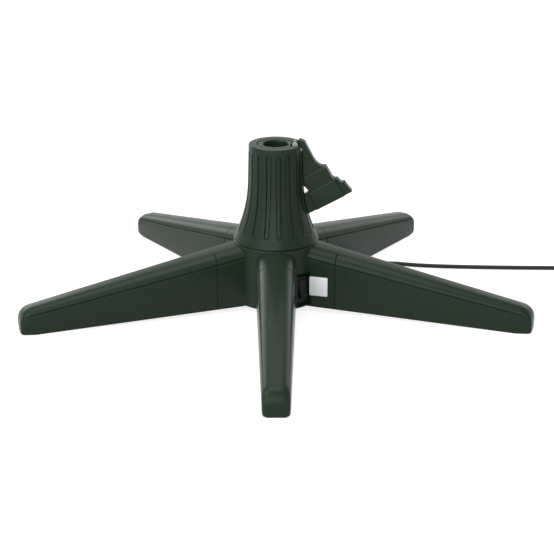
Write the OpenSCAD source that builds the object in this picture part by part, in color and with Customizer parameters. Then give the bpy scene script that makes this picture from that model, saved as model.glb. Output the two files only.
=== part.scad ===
// Rotating stand for an artificial tree: a fluted column that turns on a
// five-legged hub, with a geared motor below it and an outlet block on its rim.
// The floor is at height 0 and the pole axis is the Z axis.

/* [Legs] */
// Distance from the pole axis to a leg's tip
leg_reach = 340; // [320:5:380]
// Half width of a leg along its lower edge, at the tip
tip_half_w = 15.6; // [14:0.2:18]
// Half width of a leg along its lower edge, at the root
root_half_w = 24.9; // [24:0.1:26]
// Height of a leg's top face at the tip
tip_h = 30.6; // [28:0.2:36]
// Height of a leg's top face at the root
root_h = 87; // [84:0.5:88]
// Height of the crease below a leg's shoulder, at the tip
tip_crease_h = 22.5; // [20:0.5:24]
// Height of the crease below a leg's shoulder, at the root
root_crease_h = 72.4; // [70:0.2:74]
// Height of a leg's lower edge where it meets the hub
root_lift = 7.2; // [5:0.2:9]
// Wall of the legs and their stubs
leg_wall = 2.6; // [2.2:0.1:3]
// Distance from the pole axis to the joint between hub and leg
joint_r = 87; // [84:1:92]

/* [Hub] */
// Outer radius of the hub and of the column's foot
hub_r = 55.5; // [55:0.1:57]
// Wall of the hub
hub_wall = 3; // [2.5:0.1:3.5]
// Thickness of the deck that carries the bearing
deck_t = 3; // [2.5:0.1:4]
// Thickness of the cover below the hub
cover_t = 2.8; // [2:0.1:3.5]

/* [Column] */
// Height of the column's lower edge above the floor
seam_h = 89.8; // [89:0.1:92]
// Open seam between the column and the hub
seam_gap = 0.6; // [0.4:0.1:0.8]
// Height of the column's rim above the floor
rim_h = 215.3; // [200:0.5:230]
// Outer radius of the column at its rim
rim_r = 34.7; // [34:0.1:36]
// Wall of the column's shell
column_wall = 3; // [2.5:0.1:3.2]
// Number of flutes round the column
flute_count = 18; // [14:1:20]
// Width of a flute
flute_w = 7; // [5:0.2:8]
// Depth of a flute
flute_depth = 1.4; // [0.8:0.1:1.6]
// Radius of the bore that takes the tree's pole
pole_r = 16.5; // [15:0.1:17]
// Wall of the sleeve round the pole
sleeve_wall = 3.2; // [2.6:0.1:3.4]

/* [Bearing] */
// Radius of the circle that the balls run on
ball_circle_r = 45.2; // [45:0.1:45.6]
// Radius of a bearing ball
ball_r = 2.5; // [2.2:0.1:2.6]
// Number of balls
ball_count = 20; // [12:1:24]
// Thickness of a bearing race
race_t = 3; // [2.8:0.1:3.4]

/* [Drive] */
// Module of the gear teeth
tooth_module = 1.6; // [1.55:0.01:1.62]
// Teeth of the ring gear on the column
ring_teeth = 45; // [45:1:45]
// Teeth of the motor's pinion
pinion_teeth = 12; // [12:1:12]
// Width of the ring gear's teeth
tooth_w = 11; // [8:0.5:12]
// Radius of the gearbox
gearbox_r = 25; // [23:0.5:26]
// Height of the gearbox
gearbox_h = 7; // [6:0.5:9]
// Height of the motor can
motor_h = 17; // [14:0.5:22]

/* [Switch and label] */
// Width of the rocker
rocker_w = 10; // [8:0.5:11]
// Length of the rocker
rocker_len = 24.8; // [22:0.2:26]
// Angle that the rocker turns through
rocker_swing = 18; // [12:1:18]
// Width and height of the blank label
label_size = 24; // [16:0.5:25]

/* [Outlet block] */
// Width of the outlet block along its lower face
block_w = 62; // [60:0.2:63]
// Thickness of the outlet block
block_t = 16; // [14:0.5:16]
// Lean of the outlet block away from the column
block_lean = 29.4; // [29:0.1:30]
// Width of the notch in the column's rim
notch_w = 21; // [20:0.5:22]
// Depth of the notch in the column's rim
notch_h = 8; // [7:0.5:9]

/* [Cord and plug] */
// Diameter of the mains cord
cord_d = 5.8; // [5:0.1:6]
// Length of the plug's moulded body
plug_len = 28; // [24:1:34]
// Width of the plug's moulded body
plug_w = 22; // [20:0.5:26]

/* [Hidden] */
$fn = 48;

// Colours
dark_green = "#2b352e";
black_plastic = "#1b1f1d";
steel = "#9fa4a6";
dark_steel = "#565b5c";
brass = "#b5964a";
grey_plastic = "#a9b0ab";
paper_white = "#e1e8e8";
white_plastic = "#d8d8d0";

// Clearances
fit_gap = 0.3;       // between fixed pieces
turn_gap = 0.6;      // between turning pieces
ball_gap = 0.15;     // between a ball and its races
pin_gap = 0.06;      // round a hinge pin or a shaft
eps = 0.01;          // overrun of a cut

// Directions of the legs, and of the panels between them
leg_az = [-90, -18, 54, 126, 198];
panel_az = [-54, 18, 90, 162, 234];
switch_az = -54;
gland_az = 18;
pinion_az = 90;
brush_az = -90;
block_az = -6;
notch_az = -9;

// Legs: everything is drawn along +X and then turned to the leg's direction
root_r = 50;         // where the root sizes are given
foot_len = 15;       // flat stretch below the tip
tip_plan_r = 7;      // rounding of the tip seen from above
tip_top_r = 15;      // rounding of the tip's upper edge
tip_low_r = 3;       // rounding of the tip's lower edge
crease_share = 0.81; // crease's half width as a share of the leg's
flat_share = 0.4;    // flat top's half width as a share of the leg's
groove_d = 1;        // depth of the crease
groove_h = 2.4;      // height of the crease
groove_end = 6;      // the crease runs out this far from the tip
groove_fade = 10;
shoulder_start = 25; // slope of the shoulder where it leaves the flat top
shoulder_steps = 5;
rib_t = 2;
pocket_count = 5;
tip_solid = 12;      // solid stretch at the tip
tongue_r0 = 59;      // inner end of the tongue
web_z = 40;          // height of the web that the leg's screw holds
web_t = 3;
leg_screw_r = 68;    // distance of the leg's screw from the pole axis
boss_r = 4.2;
boss_bore_r = 1.6;
leg_boss_r = 5;

// Hub, from the seam down
housing_top = seam_h - seam_gap;
flange_z = seam_h + 0.4;
upper_race_z = flange_z - race_t;
race_gap = 2.4;
lower_race_top = upper_race_z - race_gap;
deck_top = lower_race_top - race_t;
deck_low = deck_top - deck_t;
ball_z = upper_race_z - race_gap/2;
race_half_w = 3.4;
race_in_r = ball_circle_r - race_half_w;
race_out_r = ball_circle_r + race_half_w;
cage_t = 1.6;
hub_in_r = hub_r - hub_wall;
hub_low = root_lift;
cover_z = hub_low + 0.4;
cover_top = cover_z + cover_t;
air_slot_r = 14;     // where the cover's air slots start
air_slot_len = 16;
air_slot_w = 3;
boss_circle_r = hub_in_r - boss_r + 0.3;

// Column's shell: a slightly drafted tube that flares towards its foot
draft = 0.0245;
flare_h = 80.2;
flare_top = seam_h + flare_h;
flare_power = 2.15;
flare_steps = 15;
flange_t = 5;
floor_t = 6.8;
collar_h = 4.3;
collar_r = 22.8;
lip_r = collar_r + 1.4;
rim_round = 1.2;
flute_top_band = 7.8;
flute_low_band = 11.4;
flute_az = -84.6;    // direction of the first flute
flange_r = 49;
sleeve_rib_t = 2.4;
shell_screw_r = 42;
shell_screw_az = [0, 72, 144, 216, 288];
shell_boss_r = 3.4;
shell_boss_h = 14;

// Gears
ring_pitch_r = ring_teeth*tooth_module/2;
pinion_pitch_r = pinion_teeth*tooth_module/2;
axle_offset = ring_pitch_r - pinion_pitch_r;
pressure = 20;
backlash = 0.35;
ring_root_r = ring_pitch_r + 1.25*tooth_module;
ring_tip_r = ring_pitch_r - 0.55*tooth_module;
pinion_tip_r = pinion_pitch_r + 0.85*tooth_module;
pinion_root_r = pinion_pitch_r - 1.2*tooth_module;
gear_wall = 2.6;
relief = 0.4;        // recess above and below the ring gear's teeth
gear_out_r = ring_root_r + gear_wall;
gear_drop = 22.2;    // from the column's flange down to the ring gear's lower face
gear_low = flange_z - gear_drop;
gear_flange_t = 3;
gear_flange_in_r = 28;
gear_screw_r = 31.5;
deck_open_r = gear_out_r + turn_gap;
clip_t = 1.4;
clip_bite = 0.8;
clip_out_r = gear_out_r + 2.9;
clip_z = deck_low - fit_gap - clip_t;

// Motor
bracket_top = gear_low - 2.4;
bracket_t = 1.6;
bracket_z = bracket_top - bracket_t;
bracket_r = 40;
lobe_r = 4;
shaft_r = 3;
shaft_offset = 10;
motor_y = axle_offset - shaft_offset;
ear_x = gearbox_r + 4.5;
ear_t = 1.6;
shaft_boss_r = 5;
pinion_z = gear_low + 0.4;
pinion_w = tooth_w - 0.8;
shaft_top = gear_low + tooth_w + 1;

// Slip rings
disc_drop = 8.2;
disc_z = flange_z - disc_drop;
disc_t = 3;
disc_r = 25;
slip_ring_t = 0.8;
slip_ring_w = 3;
slip_ring_r = [12.5, 19.5];
brush_w = 4;
brush_top = disc_z - slip_ring_t - fit_gap;

// Screws: shank radius, head radius and head height
small_screw = [1.45, 2.7, 2];
leg_screw = [1.55, 3.6, 2.4];
disc_screw = [1.9, 3.4, 1.8];
screw_gap = 0.05;
leg_screw_bite = 12;   // how far a screw goes into its boss
cover_screw_bite = 11;
bore_rest = 2;         // depth of a boss's bore past its screw

// Switch, seen along its own panel: X outwards, Y along the panel, Z up
switch_t = 3;
niche_floor = hub_r - 5.5;
niche_wall = 3;
niche_half_w = 9.6;
niche_low = 9.6;
niche_drop = 9.4;    // from the motor's bracket down to the niche's upper end
niche_h = bracket_z - niche_drop - niche_low;
switch_z = niche_low + niche_h/2 - 0.1;
bezel_t = 3.4;
switch_depth = 12;
rocker_gap = 0.3;
bezel_in_w = rocker_w/2 + rocker_gap;
bezel_in_h = rocker_len/2 + 1.2;
bezel_wall = 1.3;
bezel_rim = 1.8;
rocker_pin_r = 1.3;
rocker_x = niche_floor - 1;

// Blank label on the near wall of the right leg's stub
label_t = 0.4;
label_r = 53.6;
label_z = 22.8;

// Gland
gland_z = 22;
gland_r = 6;
gland_flange_r = 8;
gland_end = 85;
gland_tip_r = cord_d/2 + 0.9;

// Outlet block: X across, Y up along the block
block_out = 37;
block_drop = 75.2;
block_mid_r = rim_r + block_out;
block_mid_z = rim_h - block_drop;
neck_half_w = 8.2;   // half width of the block's neck
block_back_h = 43;   // where the block's back meets the column's wall
// Half thickness, height, and half width at the foot and the top of each tier
block_tiers = [[5.2, 100, block_w/2, block_w/2], [6.6, 47, 21.6, 18.6], [block_t/2, 25.8, 21.6, 20.1]];
block_clear = 0.4;   // between the block and the column's wall
parting = 0.1;
slot_spacing = 12.7;
slot_t = 1.8;
slot_h = [7.4, 8.8];
slot_depth = 14;
side_outlet_y = 8.6;
hinge_r = 25.2;
hinge_z = rim_h + 0.1;
eye_r = 3.2;
eye_w = 6.2;
eye_pin_r = 1.5;
lug_r = 3.4;
lug_t = 2.2;
neck_r = 30.2;       // where the block's neck ends, over the rim

// Mains cord: the route along the floor, chosen by hand
cord_r = cord_d/2;
cord_route = [
    [80.8, 26.3, 22], [93, 31, 19], [104, 39, 14], [113, 50, 9], [119.5, 63, 5],
    [124, 77, 3], [128, 91, 3], [133.5, 105, 3], [142.5, 117, 3], [154.5, 125, 3],
    [168, 126, 3], [181, 123, 3], [194, 120, 3], [208, 117.5, 3], [222, 115.5, 3],
    [237, 113.8, 3], [252, 112.5, 3], [268, 111.3, 3], [284, 110.3, 3],
    [300, 109.4, 3], [316, 108.6, 3], [332, 107.9, 3], [348, 107.3, 3],
    [364, 106.8, 3], [380, 106.4, 3], [396, 106.1, 3], [412, 106, 3], [430, 106, 3]
];
coil_x = 442;
coil_outer_r = 41.7; // middle of the outermost turn
coil_inner_r = 24.3; // middle of the innermost turn
coil_y = cord_route[len(cord_route) - 1][1] - coil_outer_r;
coil_layers = 2;
plug_x = coil_x + coil_outer_r;
tail_route = [
    [plug_x, 56, 9], [plug_x, 50, 8.8], [plug_x, 44, 8.3], [plug_x, 38, 7.7], [plug_x, 33, 7.2]
];
plug_cone = 14;
plug_y = 20;         // where the cone meets the plug's body
plug_t = 14;
blade_spacing = 12.7;
blade = [1.5, 17, 6.3];

// ---------------------------------------------------------------- helpers

function mix(a, b, t) = a + (b - a)*t;
function unit(v) = v/norm(v);
function polar(r, a) = [r*cos(a), r*sin(a)];
// How far a rounded edge has drawn in, at a distance e from its end
function round_in(rad, e) = e >= rad ? 0 : rad - sqrt(rad*rad - (rad - e)*(rad - e));

module tube(r_out, r_in, z0, z1) {
    translate([0, 0, z0]) difference() {
        cylinder(r = r_out, h = z1 - z0);
        translate([0, 0, -1]) cylinder(r = r_in, h = z1 - z0 + 2);
    }
}

module disc(r, z0, z1) {
    translate([0, 0, z0]) cylinder(r = r, h = z1 - z0);
}

module at_polar(r, a) {
    rotate([0, 0, a]) translate([r, 0, 0]) children();
}

module at_each(r, angles) {
    for (a = angles) at_polar(r, a) children();
}

// A screw put in from below, its head under z and its shank above it
module screw_up(z, size, len) {
    disc(size[0], z - eps, z + len);
    difference() {
        disc(size[1], z - size[2], z);
        translate([0, 0, z - size[2]]) cube([size[1]*1.3, 0.8, 1.6], center = true);
        translate([0, 0, z - size[2]]) cube([0.8, size[1]*1.3, 1.6], center = true);
    }
}

// A closed skin over a list of rings that have equal numbers of points
module loft(rings) {
    n = len(rings[0]);
    m = len(rings);
    polyhedron(
        points = [for (ring = rings) each ring],
        faces = concat(
            [[for (i = [0:n - 1]) i]],
            [[for (i = [n - 1:-1:0]) (m - 1)*n + i]],
            [for (j = [0:m - 2], i = [0:n - 1])
                each let (a = j*n + i, b = j*n + (i + 1) % n)
                    [[a, a + n, b], [b, a + n, b + n]]]
        ),
        convexity = 6
    );
}

// A round tube along a route
function route_dir(p, i) = unit(p[min(i + 1, len(p) - 1)] - p[max(i - 1, 0)]);
module sweep(route, r, sides = 10) {
    loft([for (i = [0:len(route) - 1])
        let (d = route_dir(route, i), s = unit(cross(d, [0, 0, 1])), u = cross(s, d))
            [for (k = [0:sides - 1]) route[i] + r*(cos(360*k/sides)*s + sin(360*k/sides)*u)]
    ]);
}

// ------------------------------------------------------------------- legs

function leg_t(r) = (leg_reach - r)/(leg_reach - root_r);
function half_w(r) = mix(tip_half_w, root_half_w, leg_t(r));
function top_z(r) = mix(tip_h, root_h, leg_t(r));
function crease_z(r) = mix(tip_crease_h, root_crease_h, leg_t(r));
function low_z(r) = max(0, root_lift*(leg_reach - foot_len - r)/(leg_reach - foot_len - root_r));

// One half of the leg's section, from its lower edge up to its flat top
function leg_half(r) =
    let (
        e = leg_reach - r,
        w = half_w(r) - round_in(tip_plan_r, e),
        drop = round_in(tip_top_r, e),
        top = top_z(r) - drop,
        low = low_z(r) + round_in(tip_low_r, e),
        crease = top - (top_z(r) - crease_z(r))*(1 - 0.45*drop/tip_top_r),
        cw = crease_share*w,
        fw = flat_share*w,
        g = groove_d*min(1, max(0, (e - groove_end)/groove_fade))
    )
    concat(
        [[w, low], [cw + 0.5, crease - groove_h], [cw - g, crease - 0.6*groove_h]],
        [for (k = [0:shoulder_steps])
            let (a = mix(90, shoulder_start, k/shoulder_steps))
                [mix(fw, cw, (sin(a) - sin(shoulder_start))/(1 - sin(shoulder_start))),
                 mix(crease, top, cos(a)/cos(shoulder_start))]]
    );

function closed_section(r, half) = concat(
    [for (p = half) [r, p[0], p[1]]],
    [for (i = [len(half) - 1:-1:0]) [r, -half[i][0], half[i][1]]]
);

// Half width of the drafted side wall at a height
function wall_w(r, z) = half_w(r)*mix(1, crease_share, (z - low_z(r))/(crease_z(r) - low_z(r)));

// The same section drawn in by an inset, for cavities and tongues
function inset_half(r, inset, low) = [
    [wall_w(r, low) - inset, low],
    [wall_w(r, crease_z(r) - inset) - inset, crease_z(r) - inset],
    [flat_share*half_w(r) - 0.3*inset, top_z(r) - inset]
];

module leg_solid(r0) {
    tip = [for (a = [0:22.5:90]) leg_reach - tip_top_r*(1 - sin(a))];
    rs = concat(
        [r0, leg_reach - foot_len - 4],
        [for (r = tip) if (r < leg_reach - tip_low_r - 1) r],
        [leg_reach - 5.2, leg_reach - 3.6, leg_reach - 2.2, leg_reach - 1.1, leg_reach - 0.3, leg_reach]
    );
    loft([for (r = rs) closed_section(r, leg_half(r))]);
}

module inset_solid(r0, r1, inset, low) {
    loft([for (r = [r0, r1]) closed_section(r, inset_half(r, inset, low))]);
}

module leg() {
    first = joint_r + 4;
    last = leg_reach - tip_solid;
    step = (last - first)/pocket_count;
    tongue_low = cover_top + fit_gap;
    color(dark_green) difference() {
        union() {
            leg_solid(joint_r + 0.2);
            inset_solid(tongue_r0, first + 1, leg_wall + fit_gap, tongue_low);
        }
        for (k = [0:pocket_count - 1])
            inset_solid(first + k*step + rib_t, first + (k + 1)*step, leg_wall, -5);
        // room above and below the tongue's web
        inset_solid(tongue_r0 + leg_wall, joint_r - 1, 2*leg_wall + fit_gap, web_z + web_t);
        translate([tongue_r0 + leg_wall, -leg_screw_r*0.2, -5])
            cube([joint_r - 1 - tongue_r0 - leg_wall, leg_screw_r*0.4, web_z + 5]);
        translate([leg_screw_r, 0, web_z - 1]) cylinder(r = leg_screw[0] + 0.3, h = web_t + 2);
        // slot that lets the tongue slide past the stub's screw boss
        translate([leg_screw_r, 0, web_z + web_t]) cylinder(r = leg_boss_r + fit_gap, h = root_h);
        translate([tongue_r0 - 1, -leg_boss_r - fit_gap, web_z + web_t])
            cube([leg_screw_r - tongue_r0 + 1, 2*(leg_boss_r + fit_gap), root_h]);
    }
}

// ------------------------------------------------------------ base housing

module hub_wedge_bosses() {
    at_each(boss_circle_r, leg_az) disc(boss_r, cover_top, deck_low + 1);
    at_each(boss_circle_r, panel_az) disc(boss_r, bracket_top, deck_low + 1);
}

module stub_cavity() {
    inset_solid(hub_r + 0.5, joint_r + 2, leg_wall, -5);
}

module base_housing() {
    color(dark_green) difference() {
        union() {
            difference() {
                union() {
                    disc(hub_r, hub_low, housing_top);
                    for (a = leg_az) rotate([0, 0, a]) difference() {
                        loft([for (r = [hub_in_r - 4, joint_r]) closed_section(r, leg_half(r))]);
                        stub_cavity();
                    }
                }
                disc(hub_in_r, hub_low - 1, deck_low);
                disc(hub_in_r, deck_top, housing_top + 1);
                disc(deck_open_r, deck_low - 1, deck_top + 1);
            }
            // rim that centres the lower race
            tube(race_out_r + 2.2, race_out_r + 0.1, deck_top - 0.5, deck_top + 2);
            hub_wedge_bosses();
            // thick back of the switch's niche
            rotate([0, 0, switch_az]) intersection() {
                translate([niche_floor - niche_wall, switch_t - niche_half_w - niche_wall,
                           cover_top + fit_gap])
                    cube([hub_wall + niche_floor, 2*(niche_half_w + niche_wall), niche_h + 4]);
                disc(hub_r - 0.5, hub_low, hub_low + niche_h + 8);
            }
            // boss for each leg's screw, hanging from the stub's roof
            for (a = leg_az) rotate([0, 0, a]) intersection() {
                translate([leg_screw_r, 0, 0]) disc(leg_boss_r, web_z + web_t, root_h);
                inset_solid(hub_r, joint_r, leg_wall - 0.4, 0);
            }
        }
        at_each(boss_circle_r, leg_az)
            disc(boss_bore_r, cover_top - 1, cover_top + cover_screw_bite + bore_rest);
        at_each(boss_circle_r, panel_az) disc(boss_bore_r, bracket_top - 1, bracket_top + 10);
        at_each(leg_screw_r, leg_az)
            disc(leg_screw[0] + screw_gap, web_z, web_z + web_t + leg_screw_bite + bore_rest);
        // room for the column's foot above the seam
        disc(hub_r + seam_gap, housing_top, housing_top + root_h);
        rotate([0, 0, switch_az]) {
            translate([niche_floor, -niche_half_w + switch_t, niche_low])
                cube([20, 2*niche_half_w, niche_h]);
            translate([niche_floor - 10, switch_t - bezel_in_w - bezel_wall - fit_gap,
                       switch_z - bezel_in_h - bezel_wall - fit_gap])
                cube([20, 2*(bezel_in_w + bezel_wall + fit_gap), 2*(bezel_in_h + bezel_wall + fit_gap)]);
        }
        rotate([0, 0, gland_az]) translate([hub_in_r - 5, 0, gland_z])
            rotate([0, 90, 0]) cylinder(r = gland_r + 0.2, h = 15);
    }
}

module base_cover() {
    color(dark_green) difference() {
        disc(hub_in_r - fit_gap, cover_z, cover_top);
        at_each(boss_circle_r, leg_az) disc(leg_screw[0] + 0.4, cover_z - 1, cover_top + 1);
        // air slots below the motor
        for (a = [0:30:330]) rotate([0, 0, a])
            translate([air_slot_r, -air_slot_w/2, cover_z - 1])
                cube([air_slot_len, air_slot_w, cover_t + 2]);
    }
}

module leg_screws() {
    color(steel) at_each(leg_screw_r, leg_az) screw_up(web_z, leg_screw, web_t + leg_screw_bite);
}

module cover_screws() {
    color(steel) at_each(boss_circle_r, leg_az)
        screw_up(cover_z, [boss_bore_r - screw_gap, leg_screw[1], leg_screw[2] - 0.4],
                 cover_t + cover_screw_bite);
}

module switch_body() {
    color(black_plastic) rotate([0, 0, switch_az]) translate([0, switch_t, switch_z]) difference() {
        union() {
            translate([niche_floor + 0.05, -bezel_in_w - bezel_wall - bezel_rim,
                       -bezel_in_h - bezel_wall - bezel_rim])
                cube([bezel_t, 2*(bezel_in_w + bezel_wall + bezel_rim),
                      2*(bezel_in_h + bezel_wall + bezel_rim)]);
            translate([niche_floor - switch_depth, -bezel_in_w - bezel_wall, -bezel_in_h - bezel_wall])
                cube([switch_depth + 1, 2*(bezel_in_w + bezel_wall), 2*(bezel_in_h + bezel_wall)]);
        }
        translate([niche_floor - switch_depth + 3, -bezel_in_w, -bezel_in_h])
            cube([switch_depth + 3, 2*bezel_in_w, 2*bezel_in_h]);
        translate([rocker_x, -bezel_in_w - bezel_wall - 1, 0])
            rotate([-90, 0, 0])
                cylinder(r = rocker_pin_r + pin_gap, h = 2*(bezel_in_w + bezel_wall) + 2);
    }
}

module switch_rocker() {
    end = rocker_len/2;
    color(black_plastic) rotate([0, 0, switch_az]) translate([rocker_x, switch_t, switch_z]) {
        rotate([0, -rocker_swing/2, 0]) rotate([90, 0, 0])
            linear_extrude(height = rocker_w, center = true)
                polygon([[-3, -end + 4], [4.5, -end], [8.2, -end + 0.4], [6.6, -end*0.45], [6, 0],
                         [6.6, end*0.45], [8.2, end - 0.4], [4.5, end], [-3, end - 4]]);
        rotate([-90, 0, 0])
            cylinder(r = rocker_pin_r, h = 2*(bezel_in_w + bezel_wall - 0.2), center = true);
    }
}

module blank_label() {
    taper = atan((root_half_w - tip_half_w)/(leg_reach - root_r));
    wall_low = half_w(label_r);
    wall_top = crease_share*wall_low + 0.5;
    wall_h = crease_z(label_r) - groove_h - low_z(label_r);
    slope = atan((wall_low - wall_top)/wall_h);
    side = wall_low - (label_z - low_z(label_r))*tan(slope);
    color(paper_white) rotate([0, 0, leg_az[1]])
        translate([label_r, -side - 0.15, label_z])
            rotate([0, 0, taper]) rotate([-slope, 0, 0])
                translate([0, -label_t, 0]) cube([label_size, label_t, label_size + 2]);
}

module cord_gland() {
    color(black_plastic) rotate([0, 0, gland_az]) translate([0, 0, gland_z]) rotate([0, 90, 0])
        rotate_extrude() polygon([
            [0, hub_in_r - 6], [gland_flange_r, hub_in_r - 6], [gland_flange_r, hub_in_r - 1.6],
            [gland_r, hub_in_r - 1.6], [gland_r, hub_r + 0.2], [gland_flange_r, hub_r + 0.2],
            [gland_flange_r, hub_r + 1.6], [gland_r, hub_r + 2.6], [gland_r - 0.6, hub_r + 5],
            [gland_tip_r, gland_end], [0, gland_end]
        ]);
}

// ----------------------------------------------------------------- bearing

module race_groove() {
    translate([0, 0, ball_z]) rotate_extrude()
        translate([ball_circle_r, 0]) circle(r = ball_r + ball_gap);
}

module lower_race() {
    color(steel) difference() {
        tube(race_out_r, race_in_r, deck_top, lower_race_top);
        race_groove();
    }
}

module upper_race() {
    color(steel) difference() {
        tube(race_out_r, race_in_r, upper_race_z, flange_z);
        race_groove();
    }
}

module bearing_balls() {
    color(steel) at_each(ball_circle_r, [for (k = [0:ball_count - 1]) 360*k/ball_count])
        translate([0, 0, ball_z]) sphere(r = ball_r);
}

module ball_cage() {
    color(white_plastic) difference() {
        tube(ball_circle_r + race_half_w + 0.2, ball_circle_r - race_half_w - 0.2,
             ball_z - cage_t/2, ball_z + cage_t/2);
        at_each(ball_circle_r, [for (k = [0:ball_count - 1]) 360*k/ball_count])
            disc(ball_r + 0.2, ball_z - 3, ball_z + 3);
    }
}

// ------------------------------------------------------------------- drive

function inv_angle(rb, r) = r <= rb ? 0 : let (t = sqrt(r*r/(rb*rb) - 1)) t*180/PI - atan(t);
// Half the angle that a tooth takes at radius r
function tooth_half(teeth, play, r) =
    let (rp = teeth*tooth_module/2, rb = rp*cos(pressure))
        90/teeth + play*90/(PI*rp) + inv_angle(rb, rp) - inv_angle(rb, max(r, rb));

module gear_outline(teeth, play, radii) {
    n = len(radii) - 1;
    polygon([for (k = [0:teeth - 1]) each concat(
        [for (i = [0:n]) polar(radii[i], 360*k/teeth - tooth_half(teeth, play, radii[i]))],
        [for (i = [n:-1:0]) polar(radii[i], 360*k/teeth + tooth_half(teeth, play, radii[i]))]
    )]);
}

module ring_gear() {
    radii = [for (k = [0:4]) mix(ring_tip_r - 0.5, ring_root_r, k/4)];
    color(white_plastic) difference() {
        disc(gear_out_r, gear_low, flange_z);
        translate([0, 0, gear_low - 1]) linear_extrude(height = tooth_w + 1) rotate(pinion_az) {
            gear_outline(ring_teeth, backlash/2, radii);
            circle(r = ring_tip_r);
        }
        disc(ring_root_r + relief, gear_low + tooth_w - relief, flange_z - gear_flange_t);
        disc(gear_flange_in_r, flange_z - gear_flange_t - 1, flange_z + 1);
        // lead-in below the teeth
        disc(ring_tip_r + relief, gear_low - 1, gear_low + relief);
        at_each(gear_screw_r, [45:90:315]) disc(small_screw[0] + 0.2, flange_z - 5, flange_z + 1);
        // groove for the retaining ring
        difference() {
            disc(gear_out_r + 1, clip_z - 0.1, clip_z + clip_t + 0.1);
            disc(gear_out_r - clip_bite, clip_z - 1, clip_z + clip_t + 1);
        }
    }
}

module gear_screws() {
    color(steel) at_each(gear_screw_r, [45:90:315])
        screw_up(flange_z - gear_flange_t, small_screw, gear_flange_t + flange_t - 1);
}

module retaining_ring() {
    color(dark_steel) difference() {
        tube(clip_out_r, gear_out_r - clip_bite + 0.1, clip_z, clip_z + clip_t);
        translate([-clip_out_r - 5, -6, clip_z - 1]) cube([clip_out_r, 12, clip_t + 2]);
    }
}

module drive_pinion() {
    radii = concat([pinion_root_r], [for (k = [0:3])
        mix(pinion_pitch_r*cos(pressure), pinion_tip_r, k/3)]);
    color(white_plastic) at_polar(axle_offset, pinion_az) difference() {
        translate([0, 0, pinion_z]) linear_extrude(height = pinion_w)
            gear_outline(pinion_teeth, -backlash/2, radii);
        disc(shaft_r, pinion_z - 1, pinion_z + pinion_w + 1);
    }
}

module output_shaft() {
    color(steel) at_polar(axle_offset, pinion_az)
        disc(shaft_r, bracket_z - gearbox_h + 1.2, shaft_top);
}

module motor_bracket() {
    color(steel) difference() {
        union() {
            disc(bracket_r, bracket_z, bracket_top);
            at_each(boss_circle_r, panel_az) disc(lobe_r, bracket_z, bracket_top);
            for (a = panel_az) rotate([0, 0, a])
                translate([0, -lobe_r, bracket_z]) cube([boss_circle_r, 2*lobe_r, bracket_t]);
        }
        at_each(boss_circle_r, panel_az) disc(small_screw[0] + 0.2, bracket_z - 1, bracket_top + 1);
        at_polar(axle_offset, pinion_az) disc(shaft_boss_r + 0.4, bracket_z - 1, bracket_top + 1);
        for (s = [-1, 1]) translate([s*ear_x, motor_y, 0])
            disc(small_screw[0] + screw_gap, bracket_z - 1, bracket_top + 1);
    }
}

module bracket_screws() {
    color(steel) at_each(boss_circle_r, panel_az)
        screw_up(bracket_z, small_screw, bracket_t + 8);
}

module gear_case() {
    low = bracket_z - gearbox_h;
    color(dark_steel) difference() {
        union() {
            translate([0, motor_y, 0]) {
                disc(gearbox_r, low, bracket_z);
                difference() {
                    union() {
                        for (s = [-1, 1]) translate([s*ear_x, 0, 0])
                            disc(4, bracket_z - ear_t, bracket_z);
                        translate([-ear_x, -4, bracket_z - ear_t]) cube([2*ear_x, 8, ear_t]);
                    }
                    for (s = [-1, 1]) translate([s*ear_x, 0, 0])
                        disc(small_screw[0] + 0.2, low, bracket_z + 1);
                }
            }
            at_polar(axle_offset, pinion_az) disc(shaft_boss_r, bracket_z - 1, bracket_top + 0.6);
        }
        at_polar(axle_offset, pinion_az) disc(shaft_r + pin_gap, low + 1, bracket_top + 2);
    }
}

module motor_can() {
    top = bracket_z - gearbox_h;
    color(steel) translate([0, motor_y, 0]) rotate_extrude() polygon([
        [0, top - motor_h], [gearbox_r - 2.5, top - motor_h], [gearbox_r - 0.5, top - motor_h + 2],
        [gearbox_r - 0.5, top], [0, top]
    ]);
}

module motor_screws() {
    color(steel) for (s = [-1, 1]) translate([s*ear_x, motor_y, 0])
        screw_up(bracket_z - ear_t, small_screw, ear_t + bracket_t + 1.2);
}

module slip_disc() {
    color(black_plastic) difference() {
        union() {
            disc(disc_r, disc_z, disc_z + disc_t);
            disc(9, disc_z, flange_z);
        }
        disc(disc_screw[0] + 0.2, disc_z - 1, flange_z + 1);
    }
}

module slip_rings() {
    color(brass) for (r = slip_ring_r)
        tube(r + slip_ring_w/2, r - slip_ring_w/2, disc_z - slip_ring_t, disc_z);
}

module slip_disc_screw() {
    color(steel) screw_up(disc_z, disc_screw, flange_z - disc_z + floor_t - 2);
}

module brush_block() {
    color(black_plastic) rotate([0, 0, brush_az]) difference() {
        translate([slip_ring_r[0] - 6, -6, bracket_top])
            cube([slip_ring_r[1] - slip_ring_r[0] + 12, 12, 11]);
        for (r = slip_ring_r) translate([r - brush_w/2 - 0.15, -brush_w/2 - 0.15, bracket_top + 2])
            cube([brush_w + 0.3, brush_w + 0.3, 12]);
    }
}

module brushes() {
    color(dark_steel) rotate([0, 0, brush_az]) for (r = slip_ring_r)
        translate([r - brush_w/2, -brush_w/2, bracket_top + 2])
            cube([brush_w, brush_w, brush_top - bracket_top - 2]);
}

// ------------------------------------------------------------------ column

function shell_r(z) = rim_r + (rim_h - z)*draft
    + (hub_r - rim_r - (rim_h - seam_h)*draft)
        *pow(max(0, (flare_top - z)/(flare_top - seam_h)), flare_power);
flare_z = [for (k = [0:flare_steps]) mix(seam_h, flare_top, k/flare_steps)];

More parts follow.
